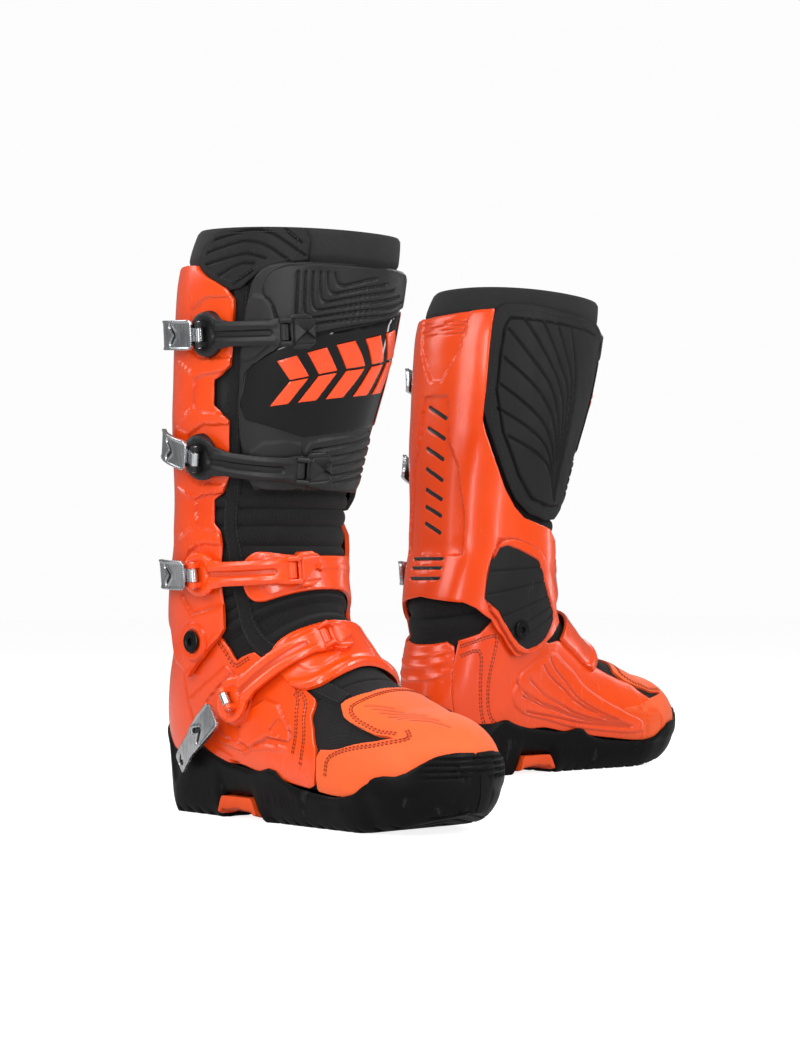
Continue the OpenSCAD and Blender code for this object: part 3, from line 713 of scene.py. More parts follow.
def make(solid, name, side, body, materials, stands_for=()):
    """One piece from a solid. The left boot's faces turn over, because its points are mirrored."""
    points = placed(np.concatenate(solid.points), side)
    mesh = bpy.data.meshes.new(f"{side}_{name}")
    faces, uvs = solid.faces, solid.uv
    if side == "left":
        faces, uvs = [f[:, ::-1] for f in faces], [u[:, ::-1] for u in uvs]
    corners = np.concatenate([f.ravel() for f in faces])
    sizes = np.concatenate([np.full(len(f), f.shape[1]) for f in faces])
    starts = np.concatenate([[0], np.cumsum(sizes)[:-1]])
    mesh.vertices.add(len(points))
    mesh.vertices.foreach_set("co", points.astype(np.float32).ravel())
    mesh.loops.add(len(corners))
    mesh.loops.foreach_set("vertex_index", corners.astype(np.int32))
    mesh.polygons.add(len(sizes))
    mesh.polygons.foreach_set("loop_start", starts.astype(np.int32))
    mesh.polygons.foreach_set("material_index", np.concatenate(solid.paint).astype(np.int32))
    mesh.update(calc_edges=True)
    uv = np.concatenate([u.reshape(-1, 2) for u in uvs]) * MAP_SCALE
    mesh.uv_layers.new(name="Surface").data.foreach_set("uv", uv.astype(np.float32).ravel())
    for key, values in (("cavity", solid.cavity), ("ink", solid.ink)):
        mesh.attributes.new(key, "FLOAT", "POINT").data.foreach_set("value", np.concatenate(values).astype(np.float32))
    mesh.polygons.foreach_set("use_smooth", np.ones(len(sizes), bool))
    mesh.set_sharp_from_angle(angle=SHARP)
    for m in materials:
        mesh.materials.append(m)
    mesh.validate()
    obj = bpy.data.objects.new(f"{side}_{name}", mesh)
    bpy.context.scene.collection.objects.link(obj)
    if body:
        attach(obj, f"{side}_{body}")
    if stands_for:
        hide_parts(*[f"{side}_{n}" for n in stands_for])
    return obj


def both(solid, name, body, materials, stands_for=()):
    """The same piece for both boots."""
    for side in SIDES:
        make(solid, name, side, body, materials, stands_for)


def over_ankle(solid, name, side, material, stands_for=()):
    """A soft piece over the ankle, attached to neither the foot nor the cuff, with its placement baked into its points.
    """
    piece = make(solid, name, side, None, [material], stands_for)
    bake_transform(piece)
    return piece


def mirrored(cols):
    """Columns for both sides from those of the outer side, which end at 0."""
    return cols + [[-c[0], c[1], c[2]] for c in cols[-2::-1]]


# Sole

SOLE_EDGE = [[14.6, -195, -165], [15.2, -214, -146], [15.7, -221, -139], [16.1, -225, -135], [16.5, -231, -129],
             [17, -237, -122], [17.6, -245, -112], [18.3, -243, -114], [19, -241, -118], [20, -244, -115],
             [20.6, -259, -99], [21.1, -246, -112], [21.8, -240, -121], [23, -246, -114], [24.5, -254, -106],
             [26, -266, -93], [27, -273, -87], [28.2, -271, -89], [29.1, -282, -78], [29.7, -297, -63],
             [30.05, -306, -54], [30.35, -318, -42], [30.6, -332, -28], [30.72, -345, -15], [30.78, -360, 0],
             [31.95, -360, 0]]
ARCH = (86, 132)


def recess(x):
    """Height of the arch recess over the floor."""
    return 17 * smooth((x - ARCH[0]) / 8) * smooth((ARCH[1] + 4 - x) / 12)


def tread(x):
    """Height of the tread over the floor: it rises into the arch recess and towards the toe."""
    return np.maximum(recess(x), 14 * (np.maximum(x - 232, 0) / 68) ** 1.6)


def below(s, t, start=15.6):
    """How far a place has gone under the boot, from 0 on the side wall to 1 on the tread. start is a station."""
    return smooth((65 - np.abs(t + 180)) / 32) * smooth((s - start) / .9)


def sole_out(s, t, off):
    p = form(s, t, off)
    p[..., 2] = np.maximum(mix(p[..., 2], tread(p[..., 0]), below(s, t)), recess(p[..., 0]))
    # the wall turns in over its last millimetres, so that the tread has a rounded edge
    arch = smooth((p[..., 0] - ARCH[0] + 12) / 12) * smooth((ARCH[1] + 16 - p[..., 0]) / 12)
    turn = np.clip(1 - (p[..., 2] - tread(p[..., 0])) / 16, 0, 1) ** 2 * (1 - arch)
    p[..., 1] *= .99 - .07 * turn
    p[..., 0] -= turn * (4 * smooth((p[..., 0] - 262) / 30) - 3 * smooth((18 - p[..., 0]) / 16))
    return p


def sole_in(s, t, _):
    return form(s, t, mix(4.5, .3, below(s, t, 18.7)) + .6)


def sole_marks(p, s, t):
    u = below(s, t)
    x, y, z = p[..., 0], p[..., 1], p[..., 2]
    # lugs under the boot: grooves that run out to both sides
    lug = np.abs(((x + .55 * np.abs(y)) / 13) % 1 - .5) * 2
    cut = smooth((lug - .74) / .2) * smooth((u - .8) / .15)
    high = -1.8 * cut
    # four ridges across the toe bumper, and a line low on the side wall from the heel to the ball of the foot
    bumper = smooth((x - 286) / 6) * (1 - u)
    rib = np.clip(1 - (((z - 37.5) / 4.2 % 1 - .5) / .24) ** 2, 0, 1) * (z > 37.5) * (z < 54.3) * bumper
    line = np.clip(1 - ((z - 17.5) / 1.0) ** 2, 0, 1) * (1 - smooth((x - 225) / 20)) * (1 - u) * smooth((x - 4) / 10)
    # the second value is painted shade in the lug cuts, the bumper's grooves and the side line
    return high - 1.1 * rib - .5 * line, np.maximum(np.maximum(cut * .8, rib), line * .6)


def outsole():
    grid = rows_grid(SOLE_EDGE, 1.7, -95.0, 1)
    return panel(grid, 0.0, 7.2, [field(sole_marks)], 1.6, tip=True, surface=sole_out, under=sole_in)


def arch_insert():
    """A bowed block that fills the recess, thinner in the middle so that it clears the floor."""
    x, y = np.meshgrid(np.linspace(ARCH[0] + 3.2, ARCH[1] - .2, 44), np.linspace(-43.6, 43.6, 60), indexing="ij")
    top = recess(x) - .5
    bottom = np.minimum(np.maximum(3.2 + 4 * np.sin((x - ARCH[0]) / 46 * math.pi) ** 2, recess(x) - 11), top - 1)
    rib = .7 * smooth((np.abs(np.sin(y / 5.5)) - .8) / .15)
    edge = 1.2 * (np.clip((np.abs(y) - 41.9) / 1.7, 0, 1)) ** 2
    # painted shade in the grooves that the ribs cut
    return skin(np.stack([x, y, bottom + rib + edge], -1), np.stack([x, y, top], -1), rib * .5, 0 * x)


# Foot

TOE_SEAMS = [[(22.6, -91), (22.65, -77), (24.6, -68), (27.2, -58), (28.1, -48), (27.5, -40)],
             [(27.2, -47.5), (25.6, -47.5), (23.3, -47.5), (22.75, -42), (22.85, -36), (23.3, -18), (23.4, 0),
              (23.3, 18), (22.85, 36), (22.75, 42), (23.3, 47.5), (27.2, 47.5)]]
FOOT_SHELL = 1.9, 4.4  # inner and outer offset of the foot's shells
SEAM_GROOVE = 1.5, .35, 2  # width, depth and rounding of the grooves that the seams lie in


def toe_cap():
    outline = [[-113, 22.35, 24.2], [-108, 22.3, 26.2], [-102, 22.3, 27.2], [-98, 22.3, 27.9], [-91, 22.25, 28.6],
               [-84, 22.2, 29.3], [-78, 22.3, 29.8], [-74, 22.9, 30], [-66, 24.4, 30.2], [-58, 26.0, 30.6],
               [-52.5, 27.2, 30.9], [-51.5, 26.9, 30.95], [-51, 23.1, 31], [-50, 22.75, 31], [-43, 22.3, 31.2],
               [-38, 22.35, 31.3], [-20, 22.8, 31.4], [0, 22.95, 31.4]]
    strokes = [[(23.5 + k * .72, -34 + k * 1.2), (25.2 + k * .72, -20 + k * 2.2)] for k in range(6)]
    return panel(cols_grid(mirrored(outline), 1.25), *FOOT_SHELL, [
        groove(strokes, 2.4, .5, 0), groove(TOE_SEAMS, *SEAM_GROOVE)], .9)

OUTER_FOOT = [[-142.2, 13.2, 17.2], [-125, 13.2, 18.0], [-115, 12.9, 19.2], [-113, 12.9, 22.0], [-104, 12.9, 22.2],
              [-98, 13.0, 22.2], [-90, 13.1, 22.2], [-84, 13.9, 22.15], [-79, 14.9, 22.1], [-77, 15.75, 22.0],
              [-74, 15.75, 21.9], [-68, 15.9, 21.7], [-64.5, 16.1, 21.5], [-62, 16.9, 21.4], [-57, 18.4, 21.35],
              [-53, 19.5, 21.25], [-51.5, 20.2, 21.1]]
INNER_FOOT = [[51.5, 20.2, 22.9], [54, 19.2, 23.4], [62, 17.0, 24.9], [72, 16.1, 25.9], [80, 14.9, 26.4],
              [92, 13.2, 26.6], [101, 12.9, 26.2], [108, 12.8, 25.4], [113, 12.9, 23], [115, 12.9, 19.2],
              [125, 13.2, 18.0], [142.2, 13.2, 17.2]]
FOOT_SEAMS = [[(20.0, -55.5), (20.85, -55.5), (21.15, -66), (21.55, -77), (21.6, -92)],
              [(20.1, -58.5), (20.45, -58.5), (20.75, -67), (21.15, -78), (21.2, -90)],
              [(13.9, -87), (14.9, -81.5), (15.95, -79.5), (16.1, -74), (16.2, -67)],
              [(13.4, -140), (13.4, -112), (13.35, -92)]]
INNER_SEAMS = [[(13.4, 140), (13.4, 118), (13.6, 108), (15.2, 116), (16.8, 121), (18.0, 122)],
               [(13.75, 138), (13.75, 120), (15.2, 121), (16.6, 126), (17.4, 128)]]


def foot_shell():
    hollow = [(18.95, -76), (19.8, -71), (20.75, -76), (20.9, -84), (20.3, -88), (19.7, -92), (19.35, -98),
              (18.75, -98), (18.55, -88)]
    outer = panel(cols_grid(OUTER_FOOT, 1.65), *FOOT_SHELL, [
        area(hollow, 2.2, 1.8, 0), groove([hollow + hollow[:1]], 1.8, .7, 0),
        area([(20.2, -76), (20.0, -86), (20.9, -84), (21.0, -79)], -1.6, 1.4, 0),
        area([(15.55, -84), (15.35, -108), (18.0, -105), (19.1, -103), (18.9, -96), (17.6, -86), (16.6, -80)],
             1.0, 1.0, 0),
        area([(16.05, -81), (16.1, -98), (18.1, -100.5), (18.9, -99), (18.6, -91), (17.4, -82)], -1.5, 1.0, 0),
        area([(16.6, -78), (16.75, -90), (18.2, -95), (18.5, -88), (17.6, -79)], 1.5, 1.0, 0),
        ridge([[(19.2, -103), (19.5, -97), (20.1, -91.5), (20.9, -89)]], 3.4, 1.4, 0),
        area([(13.1, -112), (14.8, -110), (17.6, -107), (19.2, -111), (18.2, -128), (14, -150), (13, -150)],
             .8, 3, 1),
        groove(FOOT_SEAMS, *SEAM_GROOVE)], 1)
    ends = [(16.15, 98), (16.7, 92), (17.1, 84), (17.4, 99), (18.2, 105), (17.3, 77)]
    fans = [[a, (mix(a[0], 22.4, .45), mix(a[1], 88, .5) + 3), (22.6, 91)] for a in ends]
    inner = panel(cols_grid(INNER_FOOT, 1.65), *FOOT_SHELL, [
        area([(15.8, 101), (16.6, 76), (18.3, 70), (23.3, 85), (23.4, 96), (19, 109)], 1.3, 3, 1),
        groove(fans, 2.6, 1.3, 3), groove(INNER_SEAMS, *SEAM_GROOVE)], 1)
    return outer.join(inner)


def heel_cup():
    ribs = [[(s, -222), (s, -138)] for s in (13.45, 13.8, 14.15)]
    rows = [[13.15, -207, -153], [13.35, -215, -145], [13.7, -217.5, -142.5], [15.6, -217.5, -142.5],
            [17, -217, -143]]
    return panel(rows_grid(rows, 1.5, -150.0), *FOOT_SHELL, [ridge(ribs, 3.0, .9, 0)], 1)


def vamp():
    outline = [[-98, 21.2, 25.5], [-86, 21.4, 27.6], [-72, 21, 28.3], [-56, 20.4, 28.4], [-40, 20.4, 24.6],
               [-30, 20.4, 24], [0, 20.4, 23.6]]
    seams = [[(21.2, -50), (21.9, -20), (21.9, 20), (21.2, 50)], [(22.6, -45), (22.9, -18), (22.9, 18), (22.6, 45)]]
    return panel(cols_grid(mirrored(outline), 1.7), .3, 1.6, [groove(seams, 2.2, .9)], .6)


def foot_lining():
    def folds(p, s, t):
        front = smooth((75 - np.abs(t)) / 30)
        roll = np.abs(np.sin((s - 14.0) / 1.35 * math.pi)) ** .7 * smooth((17.3 - s) / .8)
        low = np.abs(np.sin((s - 18.0) / 1.5 * math.pi)) ** .7 * smooth((s - 18) / .6) * smooth((22 - s) / 1.5)
        crease = np.exp(-((s - 15.35) / .07) ** 2) * front * (s < 17)
        # the crease share is painted shade along one fold
        return front * (mix(.6, 2.6, smooth((s - 15.2) / .8)) * roll + .8 * low), crease * .7
    return panel(ring_grid(14.05, 31.6, 2.2, 130), -3, 0.0, [field(folds)], 0, ring=True, tip=True)


def insole():
    def weave(p, s, t):
        a, b = p[..., 0] / 9, p[..., 1] / 13
        quilt = np.abs(np.sin(a + b)) ** .5 * np.abs(np.sin(a - b)) ** .5
        # painted shade in the hollows of the quilting
        return .5 * quilt, (1 - quilt) ** 3 * .5
    rows = [[17.6, -222, -138], [18.4, -226, -134], [20, -226, -134], [24, -226, -134], [28, -226, -134],
            [30.5, -222, -138]]
    return panel(rows_grid(rows, 2.2, -180.0, 1), -4.6, -7.6, [field(weave)], .8)

INSTEP = [[-59, 18.3, 19.4], [-56, 17.5, 20.2], [-50, 16.9, 20.7], [-40, 16.8, 21.1], [-20, 17.3, 21.3],
          [0, 17.6, 21.2], [20, 17.6, 21.3], [40, 17.3, 21.2], [60, 17.1, 20.6]]


def instep_band():
    lower = [[(c[2] - .3, c[0]) for c in INSTEP[1:]]]
    plate = [(17.35, -47), (17.5, -24), (17.9, -12), (18.9, -6), (20.0, -10), (20.5, -22), (20.3, -46)]
    return panel(cols_grid(INSTEP, 1.2, 2), 4.7, 7.9, [
        ridge(lower, 6.5, 1.7, 2), area(plate, 1.1, 2.4, 2)], 1.6)


# Cuff

CALF = [[-302, 10.3, 15.4], [-290, 9.75, 15.6], [-276, 9.55, 15.5], [-262, 9.25, 14.9], [-253, 8.75, 13.7],
        [-242, 7.85, 12.8], [-230, 6.65, 12.4], [-222, 5.8, 12.25], [-218.5, 5.3, 12.2], [-217.5, 1.1, 12.2],
        [-200, 1.2, 12.1], [-180, 1.3, 12], [-160, 1.35, 12.1], [-140, 1.4, 12.3], [-125, 1.4, 12.8], [-113, 1.4, 14],
        [-100, 1.45, 14.8], [-88, 1.9, 14.6], [-77, 2.3, 14.3], [-73, 2.6, 14.0]]
# the calf shell's front edge, as station and angle: the last column of CALF is warped to it
FRONT_EDGE = np.array([[1.4, -84], [2.3, -76], [2.8, -74], [4.6, -73], [4.9, -80], [5.0, -84], [5.8, -82.5],
                       [6.0, -78], [6.3, -70.5], [8.1, -69.5], [8.7, -73], [8.95, -80], [9.9, -79], [10.2, -74],
                       [10.7, -73], [12.4, -75], [13.2, -76], [14.2, -77], [14.6, -84]])
FRAME_HOLLOW = [(10.5, -243), (10.85, -262), (11.35, -279), (12.9, -288), (14.4, -294), (15.15, -283), (15.25, -271),
                (14.9, -267), (12.7, -249), (12.3, -237), (11.4, -236)]


CUFF_SHELL = 4.5, 8.0  # inner and outer offset of the cuff's shells


def arm(s):
    """How much further out the cuff lies towards the ankle, where its arms pass outside the foot."""
    return 1.7 * smooth((s - 8.5) / 3.5)


def calf_surface(s, t, off):
    return form(s, t, off + arm(s))


def calf_shell():
    def front_edge(s, t):
        edge = np.interp(s, FRONT_EDGE[:, 0], FRONT_EDGE[:, 1])
        return t + (edge - CALF[-1][0]) * smooth((t + 112) / 39)
    hubs = [[(2.55, -76), (2.5, -92), (2.8, -102), (3.9, -105), (4.35, -93), (4.4, -72)],
            [(6.45, -68), (6.4, -88), (6.7, -99), (7.9, -101), (8.35, -90), (8.4, -68)],
            [(10.75, -70), (10.7, -88), (11.0, -100), (12.1, -106), (12.75, -97), (12.9, -74)]]
    pockets = [[(4.75, -72), (4.85, -92), (4.95, -96.5), (5.85, -95), (6.0, -90), (6.15, -68)],
               [(8.7, -70), (8.8, -89), (8.95, -93.5), (9.95, -91.5), (10.1, -87), (10.35, -70)]]
    lines = [[(4.2, -118), (4.75, -98)], [(6.35, -115), (5.9, -97)], [(8.4, -114), (8.85, -95)],
             [(10.45, -112), (10.05, -94)]]
    channel = [(4.3, -170), (4.3, -190), (6.1, -194), (7.0, -203), (9.2, -212), (11.0, -212), (11.0, -148),
               (9.2, -148), (7.0, -157), (6.1, -166)]
    crown = [(1.2, -158), (1.2, -202), (2.6, -197), (3.75, -184), (3.75, -176), (2.6, -163)]
    slots = [[(11.12, -165), (11.12, -195)], [(11.36, -165), (11.36, -195)], [(11.6, -165), (11.6, -195)]]
    rounds = [[(s, -160), (s, -200)] for s in (1.62, 1.78, 1.94, 2.1)]
    marks = [[(4.7 + k * .8, -175), (5.15 + k * .8, -189)] for k in range(7)]
    frame_edge = [(10.3, -242), (10.2, -256), (10.9, -280), (12.6, -299), (14.6, -296), (15.5, -276), (15.2, -266),
                  (13.0, -249), (12.4, -238), (11.2, -236)]
    pivot = [[(14.35, -114), (14.75, -104), (14.75, -94), (14.2, -84)]]
    return panel(cols_grid(CALF, 1.7, warp=front_edge), *CUFF_SHELL, [
        *[area(h, -2.0, 1.6, 0) for h in hubs], *[area(k, -2.0, 1.4, 0) for k in pockets],
        ridge(lines, 1.8, 1.2, 0), area(channel, -2.2, 1.0, 0), area(crown, -1.8, 1.0, 0),
        groove(slots, 3, 1.6, 0, ink=True), groove(marks, 3.6, .5, 0, ink=True), groove(rounds, 1.6, .7, 0),
        area(frame_edge, 2.6, 1.2, 1), groove([frame_edge + frame_edge[:1]], 1.6, .8, 1), ridge(pivot, 4, 1.2, 2),
        area(FRAME_HOLLOW, -1.8, 1.6, 1)], 1.2, surface=calf_surface)


def leg_lining():
    s, t = ring_grid(0.0, 9.4, 2.2, 170)
    low = np.interp(s, [0, .3, 1.2, 1.6, 9], [-5.5, -6.4, -6, -3, -3])
    high = np.interp(s, [0, .05, .12, 1.15, 1.25, 1.7, 9], [1.6, 2.4, 2.8, 3, 2.4, 0, 0])

    def collar(p, s, t):
        pad = np.sin(np.clip((s - .05) / 1.15, 0, 1) * math.pi) ** .6 * .4
        seam = np.exp(-((s - 1.22) / .05) ** 2)
        # painted shade in the seam below the collar's pad
        return pad - .7 * seam, seam * .8
    return panel((s, t), low, high, [field(collar)], 0, ring=True)

SHIN = [[1.42, -38, 38], [1.52, -55, 44], [1.8, -62, 46], [2.4, -66, 46.5], [4.2, -67, 46.5], [5.1, -66, 46.5],
        [6.4, -63.5, 46.5], [7.1, -61, 46.5], [7.9, -57, 46], [8.62, -50, 44]]


def shin_plate():
    block = [(1.5, -44), (1.45, 0), (1.5, 46), (2.5, 48), (3.05, 16), (3.42, -9), (3.93, -43), (3.5, -46),
             (2.72, -51.5), (2.5, -58), (1.85, -56)]
    lower = [(7.05, -20), (6.9, -10), (6.4, 48), (8.55, 48), (8.62, -15), (8.0, -17)]
    house = [(7.05, -54), (6.95, -24), (7.3, -21), (8.0, -19), (8.7, -19), (8.6, -49), (8.1, -57)]
    upper_house = [(2.5, -66), (2.6, -54), (3.5, -47), (4.0, -49), (4.6, -62), (4.3, -70)]
    # six grooves, each inside the one before
    ells = [[(1.8, mix(-40, -20, f)), (mix(3.1, 2.0, f), mix(-38.5, -19, f)), (mix(3.48, 2.22, f), mix(-36, -17, f)),
             (mix(3.42, 2.18, f), mix(-30, -12, f)), (mix(2.62, 1.86, f), mix(43, 3, f))]
            for f in [k / 5 for k in range(6)]]
    cuts = [[(7.25, -14), (6.6, 46)], [(7.55, -13), (6.95, 46)], [(7.82, -10), (7.3, 46)], [(8.08, -4), (7.6, 46)],
            [(8.3, 3), (7.85, 46)]]
    return panel(rows_grid(SHIN, .85, -20.0, 1), *CUFF_SHELL, [
        area(block, 2.2, 2, 1), area(lower, 1.4, 2, 1), area(house, 1.2, 1.8, 1), area(upper_house, 1.0, 1.8, 1),
        groove(ells, 2.3, 1.5, 2), groove(cuts, 2.6, 1.4, 0)], 1.3)


def shin_panel():
    outline = [[-63, 4.85, 5.9], [-59, 4.6, 6.3], [-45, 4.12, 6.5], [-22, 3.72, 6.85], [-9, 3.55, 6.75], [20, 3.1, 6.5],
               [44, 2.7, 6.3]]
    return panel(cols_grid(outline, 1.6), 8.1, 9.3, [], .8)


def medial_pad():
    outline = [[49.5, 1.6, 8.8], [64, 1.25, 9.3], [78, 1.05, 9.35], [94, .95, 9.05], [107, .85, 8.4], [118, .8, 7.5],
               [130, .8, 6.3], [138, .85, 5.4], [142, 1.2, 4.9]]
    inner = [(1.5, 131), (1.65, 84), (1.9, 60), (8.5, 60), (8.75, 76), (8.2, 100), (4.9, 135), (1.9, 134)]
    starts = [(2.0, 131), (1.62, 121), (1.62, 109), (1.65, 99), (1.75, 90), (2.95, 132), (3.95, 133), (4.85, 132),
              (5.9, 122)]
    fans = [[a, (mix(a[0], 8.4, .3), mix(a[1], 74, .62)), (mix(a[0], 8.4, .62), mix(a[1], 74, .82)), (8.4, 74)]
            for a in starts]
    return panel(cols_grid(outline, 1.4), 4.5, 8.5, [
        area(inner, 1.8, 1.6, 1), groove([inner + inner[:1]], 2.4, 1.3, 1), groove(fans, 2.5, 1.5, 3)], 1.6)


def ankle_pad():
    outline = [[66, 12.9, 14.4], [74, 11.9, 15.0], [81, 11.35, 15.2], [90, 11.1, 15.1], [100, 10.85, 14.3],
               [111, 10.6, 12.7], [117, 10.5, 12.45], [124, 11.2, 12.2]]
    lines = [[(s, 122), (s, 70)] for s in (11.5, 12.1, 12.8, 13.5, 14.2)]
    return panel(cols_grid(outline, 1.4, 1), 8.0, 9.6, [groove(lines, 1.8, .6, 1)], 1, surface=calf_surface)


def gaiter_pad():
    outline = [[-104, .75, 1.35], [-98, .35, 1.68], [-94, .1, 1.85], [-86, .06, 2.15], [-79, .04, 2.35],
               [-72, .03, 2.3], [-62, .03, 1.8], [-48, .03, 1.5], [-40, .05, 1.4], [-36, .6, 1.35]]
    ridges = [[(.5, -94), (.18, -77), (.16, -66), (.3, -58), (1.15, -38)],
              [(1.0, -97), (.62, -78), (.6, -70), (.8, -60), (1.4, -46)],
              [(1.45, -96), (1.1, -74), (1.1, -70), (1.3, -60)], [(1.9, -87), (1.45, -74), (1.5, -66)],
              [(2.2, -77), (1.75, -66)], [(.1, -52), (.65, -41)]]
    return panel(cols_grid(outline, 1.1), 3.2, 5.8, [groove(ridges, 2.0, 1.2, 1)], 1.2)

BAND = [[-60, 12.0, 12.5], [-59, 11.6, 12.8], [-56, 11.3, 13.15], [-50, 11.05, 13.4], [-44, 11.0, 13.45],
        [-20, 11.2, 13.4], [0, 11.2, 13.4], [20, 11.2, 13.4], [38, 11.2, 13.7], [54, 11.2, 14.2]]


def ankle_band():
    plate = [(11.25, -48), (11.2, -26), (11.6, -15), (12.8, -17), (13.2, -28), (13.15, -48)]
    swell = [(11.9, -12), (11.6, 20), (11.6, 60), (12.2, 60), (12.0, 20), (12.1, -12)]
    return panel(cols_grid(BAND, 1.2, 1), 4.5, 7.5, [area(plate, 1.0, 2, 1), area(swell, .6, 6, 1)], 1.6)


# what makes a piece, its name, its body, its material and slot, and the CAD node that it stands for
for build, name, body, material, slot, node in (
        (outsole, "outsole_rubber", "foot", SOLE_RUBBER, "sole_rubber", "outsole"),
        (arch_insert, "arch_insert", "foot", ORANGE_RUBBER, "orange_rubber", "sole_insert"),
        (toe_cap, "toe_cap_microfibre", "foot", MICROFIBRE, "orange_microfibre", "toe_cap"),
        (foot_shell, "foot_shell_moulding", "foot", ORANGE, "orange_shell", "foot_shell"),
        (heel_cup, "heel_cup_ribbed", "foot", ORANGE, "orange_shell", "heel_cup"),
        (vamp, "vamp_fabric", "foot", CLOTH, "black_fabric", "vamp"),
        (foot_lining, "foot_lining", "foot", CLOTH, "black_fabric", "liner_foot"),
        (insole, "insole_fabric", "foot", LIT_LINING, "black_fabric", "insole"),
        (instep_band, "instep_band_moulding", "foot", ORANGE, "orange_shell", "instep_band"),
        (calf_shell, "calf_shell_moulding", "cuff", ORANGE, "orange_shell", "calf_shell"),
        (leg_lining, "leg_lining", "cuff", LIT_LINING, "black_fabric", "liner_leg"),
        (shin_plate, "shin_plate_moulding", "cuff", PLASTIC, "black_plastic", "shin_plate"),
        (shin_panel, "shin_panel_gloss", "cuff", GLOSS, "gloss_black", "shin_panel"),
        (medial_pad, "medial_pad_rubber", "cuff", RUBBER, "black_rubber", "medial_pad"),
        (ankle_pad, "ankle_pad_rubber", "cuff", RUBBER, "black_rubber", "ankle_pad"),
        (gaiter_pad, "gaiter_pad_rubber", "cuff", RUBBER, "black_rubber", "gaiter_pad"),
        (ankle_band, "ankle_band_moulding", "cuff", ORANGE, "orange_shell", "ankle_band")):
    both(build(), name, body, [material], [node])

CREASES = np.array([8.2, 8.7, 9.3, 10.0, 10.75, 11.5, 12.05, 12.55, 13.05, 13.6, 14.4])


def bellows():
    def rolls(p, s, t):
        i = np.clip(np.searchsorted(CREASES, s, "right") - 1, 0, len(CREASES) - 2)
        u = (s - CREASES[i]) / (CREASES[i + 1] - CREASES[i])
        roll = np.abs(np.sin(u * math.pi)) ** .55
        wave = .35 * np.sin(t * .09 + i * 2.1) + .25 * np.sin(t * .23 + i)
        depth = (3.0 + .5 * wave) * smooth((s - 8.3) / .5) * smooth((14.5 - s) / .5)
        depth = depth * (1 - .85 * smooth((s - 12.7) / .5) * smooth((np.abs(t) - 90) / 20))
        # painted shade in the creases between the rolls
        return roll * depth, (1 - roll) ** 2 * smooth((s - 8.6) / .2)
    return panel(ring_grid(8.3, 14.5, 1.4, 170), -2, .6, [field(rolls)], 0, ring=True)


for side in SIDES:
    piece = over_ankle(bellows(), "ankle_bellows_fabric", side, CLOTH, ["ankle_bellows"])

# Strips, seams and trim

FLAP = [(9.0, -67), (10.2, -67.5), (11.28, -64), (12.4, -63.5), (14.2, -63), (15.2, -61), (16.65, -56.5), (18.2, -51),
        (19.8, -46.5), (22.2, -37.5)]


HEM = 4.6  # distance of the sewn channels from the middle of a strip


def hem(v):
    """Two sewn channels near the strip's edges, with painted shade in them."""
    d = np.abs(np.abs(v) - HEM)
    share = np.clip(1 - (d / .8) ** 2, 0, 1)
    return -.4 * share, share * .6


for side in SIDES:
    over_ankle(strip(FLAP, 13, 1.4, 4.1, hem), "flap_binding", side, CLOTH)
    over_ankle(sewn_twice(FLAP, 3.75, HEM), "flap_stitches", side, THREAD_BLACK)

SEAM = [(2.2, -72.5), (4.14, -70.5), (5.7, -70.5), (7, -69), (8.9, -67)]
both(strip(SEAM, 15, .3, 3.4, hem), "seam_strip", "cuff", [CLOTH])
both(sewn_twice(SEAM, 3.05, HEM), "seam_stitches", "cuff", [THREAD_BLACK])

UPPER_THREAD = Solid()
for aside in (-1.1, 1.1):
    UPPER_THREAD.join(stitches(TOE_SEAMS + FOOT_SEAMS + INNER_SEAMS, 4.3, aside=aside))
both(UPPER_THREAD, "upper_stitches", "foot", [THREAD_ORANGE])
GAITER_EDGE = [(.3, -93), (.25, -78), (.22, -62), (.22, -45), (1.22, -40), (1.45, -55), (1.62, -64), (2.12, -75),
               (1.95, -86), (1.55, -97), (.85, -98.5), (.3, -93)]
both(stitches([GAITER_EDGE], 5.65, bend=1), "gaiter_stitches", "cuff", [THREAD_BLACK])
PAD_EDGE = [(1.9, 54), (1.35, 66), (1.25, 80), (1.2, 95), (1.1, 110), (1.15, 134), (1.9, 138), (4.9, 138), (6.2, 128),
            (7.2, 117), (8.2, 105), (8.85, 92), (9.0, 78), (8.8, 62)]
both(stitches([PAD_EDGE], 8.45, bend=1), "pad_stitches", "cuff", [THREAD_BLACK])


def emblem():
    """Plain forward-pointing chevrons on the gloss panel."""
    def spot(a, b):
        return mix(mix(4.5, 3.1, a), mix(5.95, 5.3, a), b), mix(-45, 41, a)
    solid = Solid()
    for k in range(5):
        a = k * .185
        for corners in (((a, .03), (a + .12, .03), (a + .22, .48), (a + .1, .48)),
                        ((a + .1, .52), (a + .22, .52), (a + .12, .97), (a, .97))):
            solid.join(panel(cell([spot(*c) for c in corners], 16), 9.2, 10.5, edge=.7))
    return solid


both(emblem(), "shin_chevrons", "cuff", [ORANGE])

# Ankle screws on both sides, and the moulded ring round the outer one

SCREW_OUT, RING_OUT = 56.5, 55.8  # distance of their seats from the boot's middle

BOLT = [(.01, -9), (5, -9), (5, 0), (7.4, .3), (7.9, .8), (7.9, 1.7), (7.3, 2.3), (4.9, 2.4), (4.4, 1.9), (3, 1.9),
        (3, .5), (.01, .5)]
SCREWS = Solid()
for way in (-1, 1):
    SCREWS.join(lathe(ANKLE + [0, way * SCREW_OUT, 0], [0, way, 0], BOLT, facets=(9, 10)))
both(SCREWS, "ankle_screws", "foot", [SCREW], ["pivot_bolts"])
RING = [(8.5, -4), (14.4, -4), (14.2, -.6), (12.8, 1.1), (10, 1.4), (8.8, .7), (8.5, -4)]
both(lathe(ANKLE - [0, RING_OUT, 0], [0, -1, 0], RING), "ankle_rings", "cuff", [ORANGE])

# ---- Buckles ----
# Anchor station and angle, strap end's station and angle, the strap's offset, and how far along the strap's path the
# lever reaches, in strap lengths

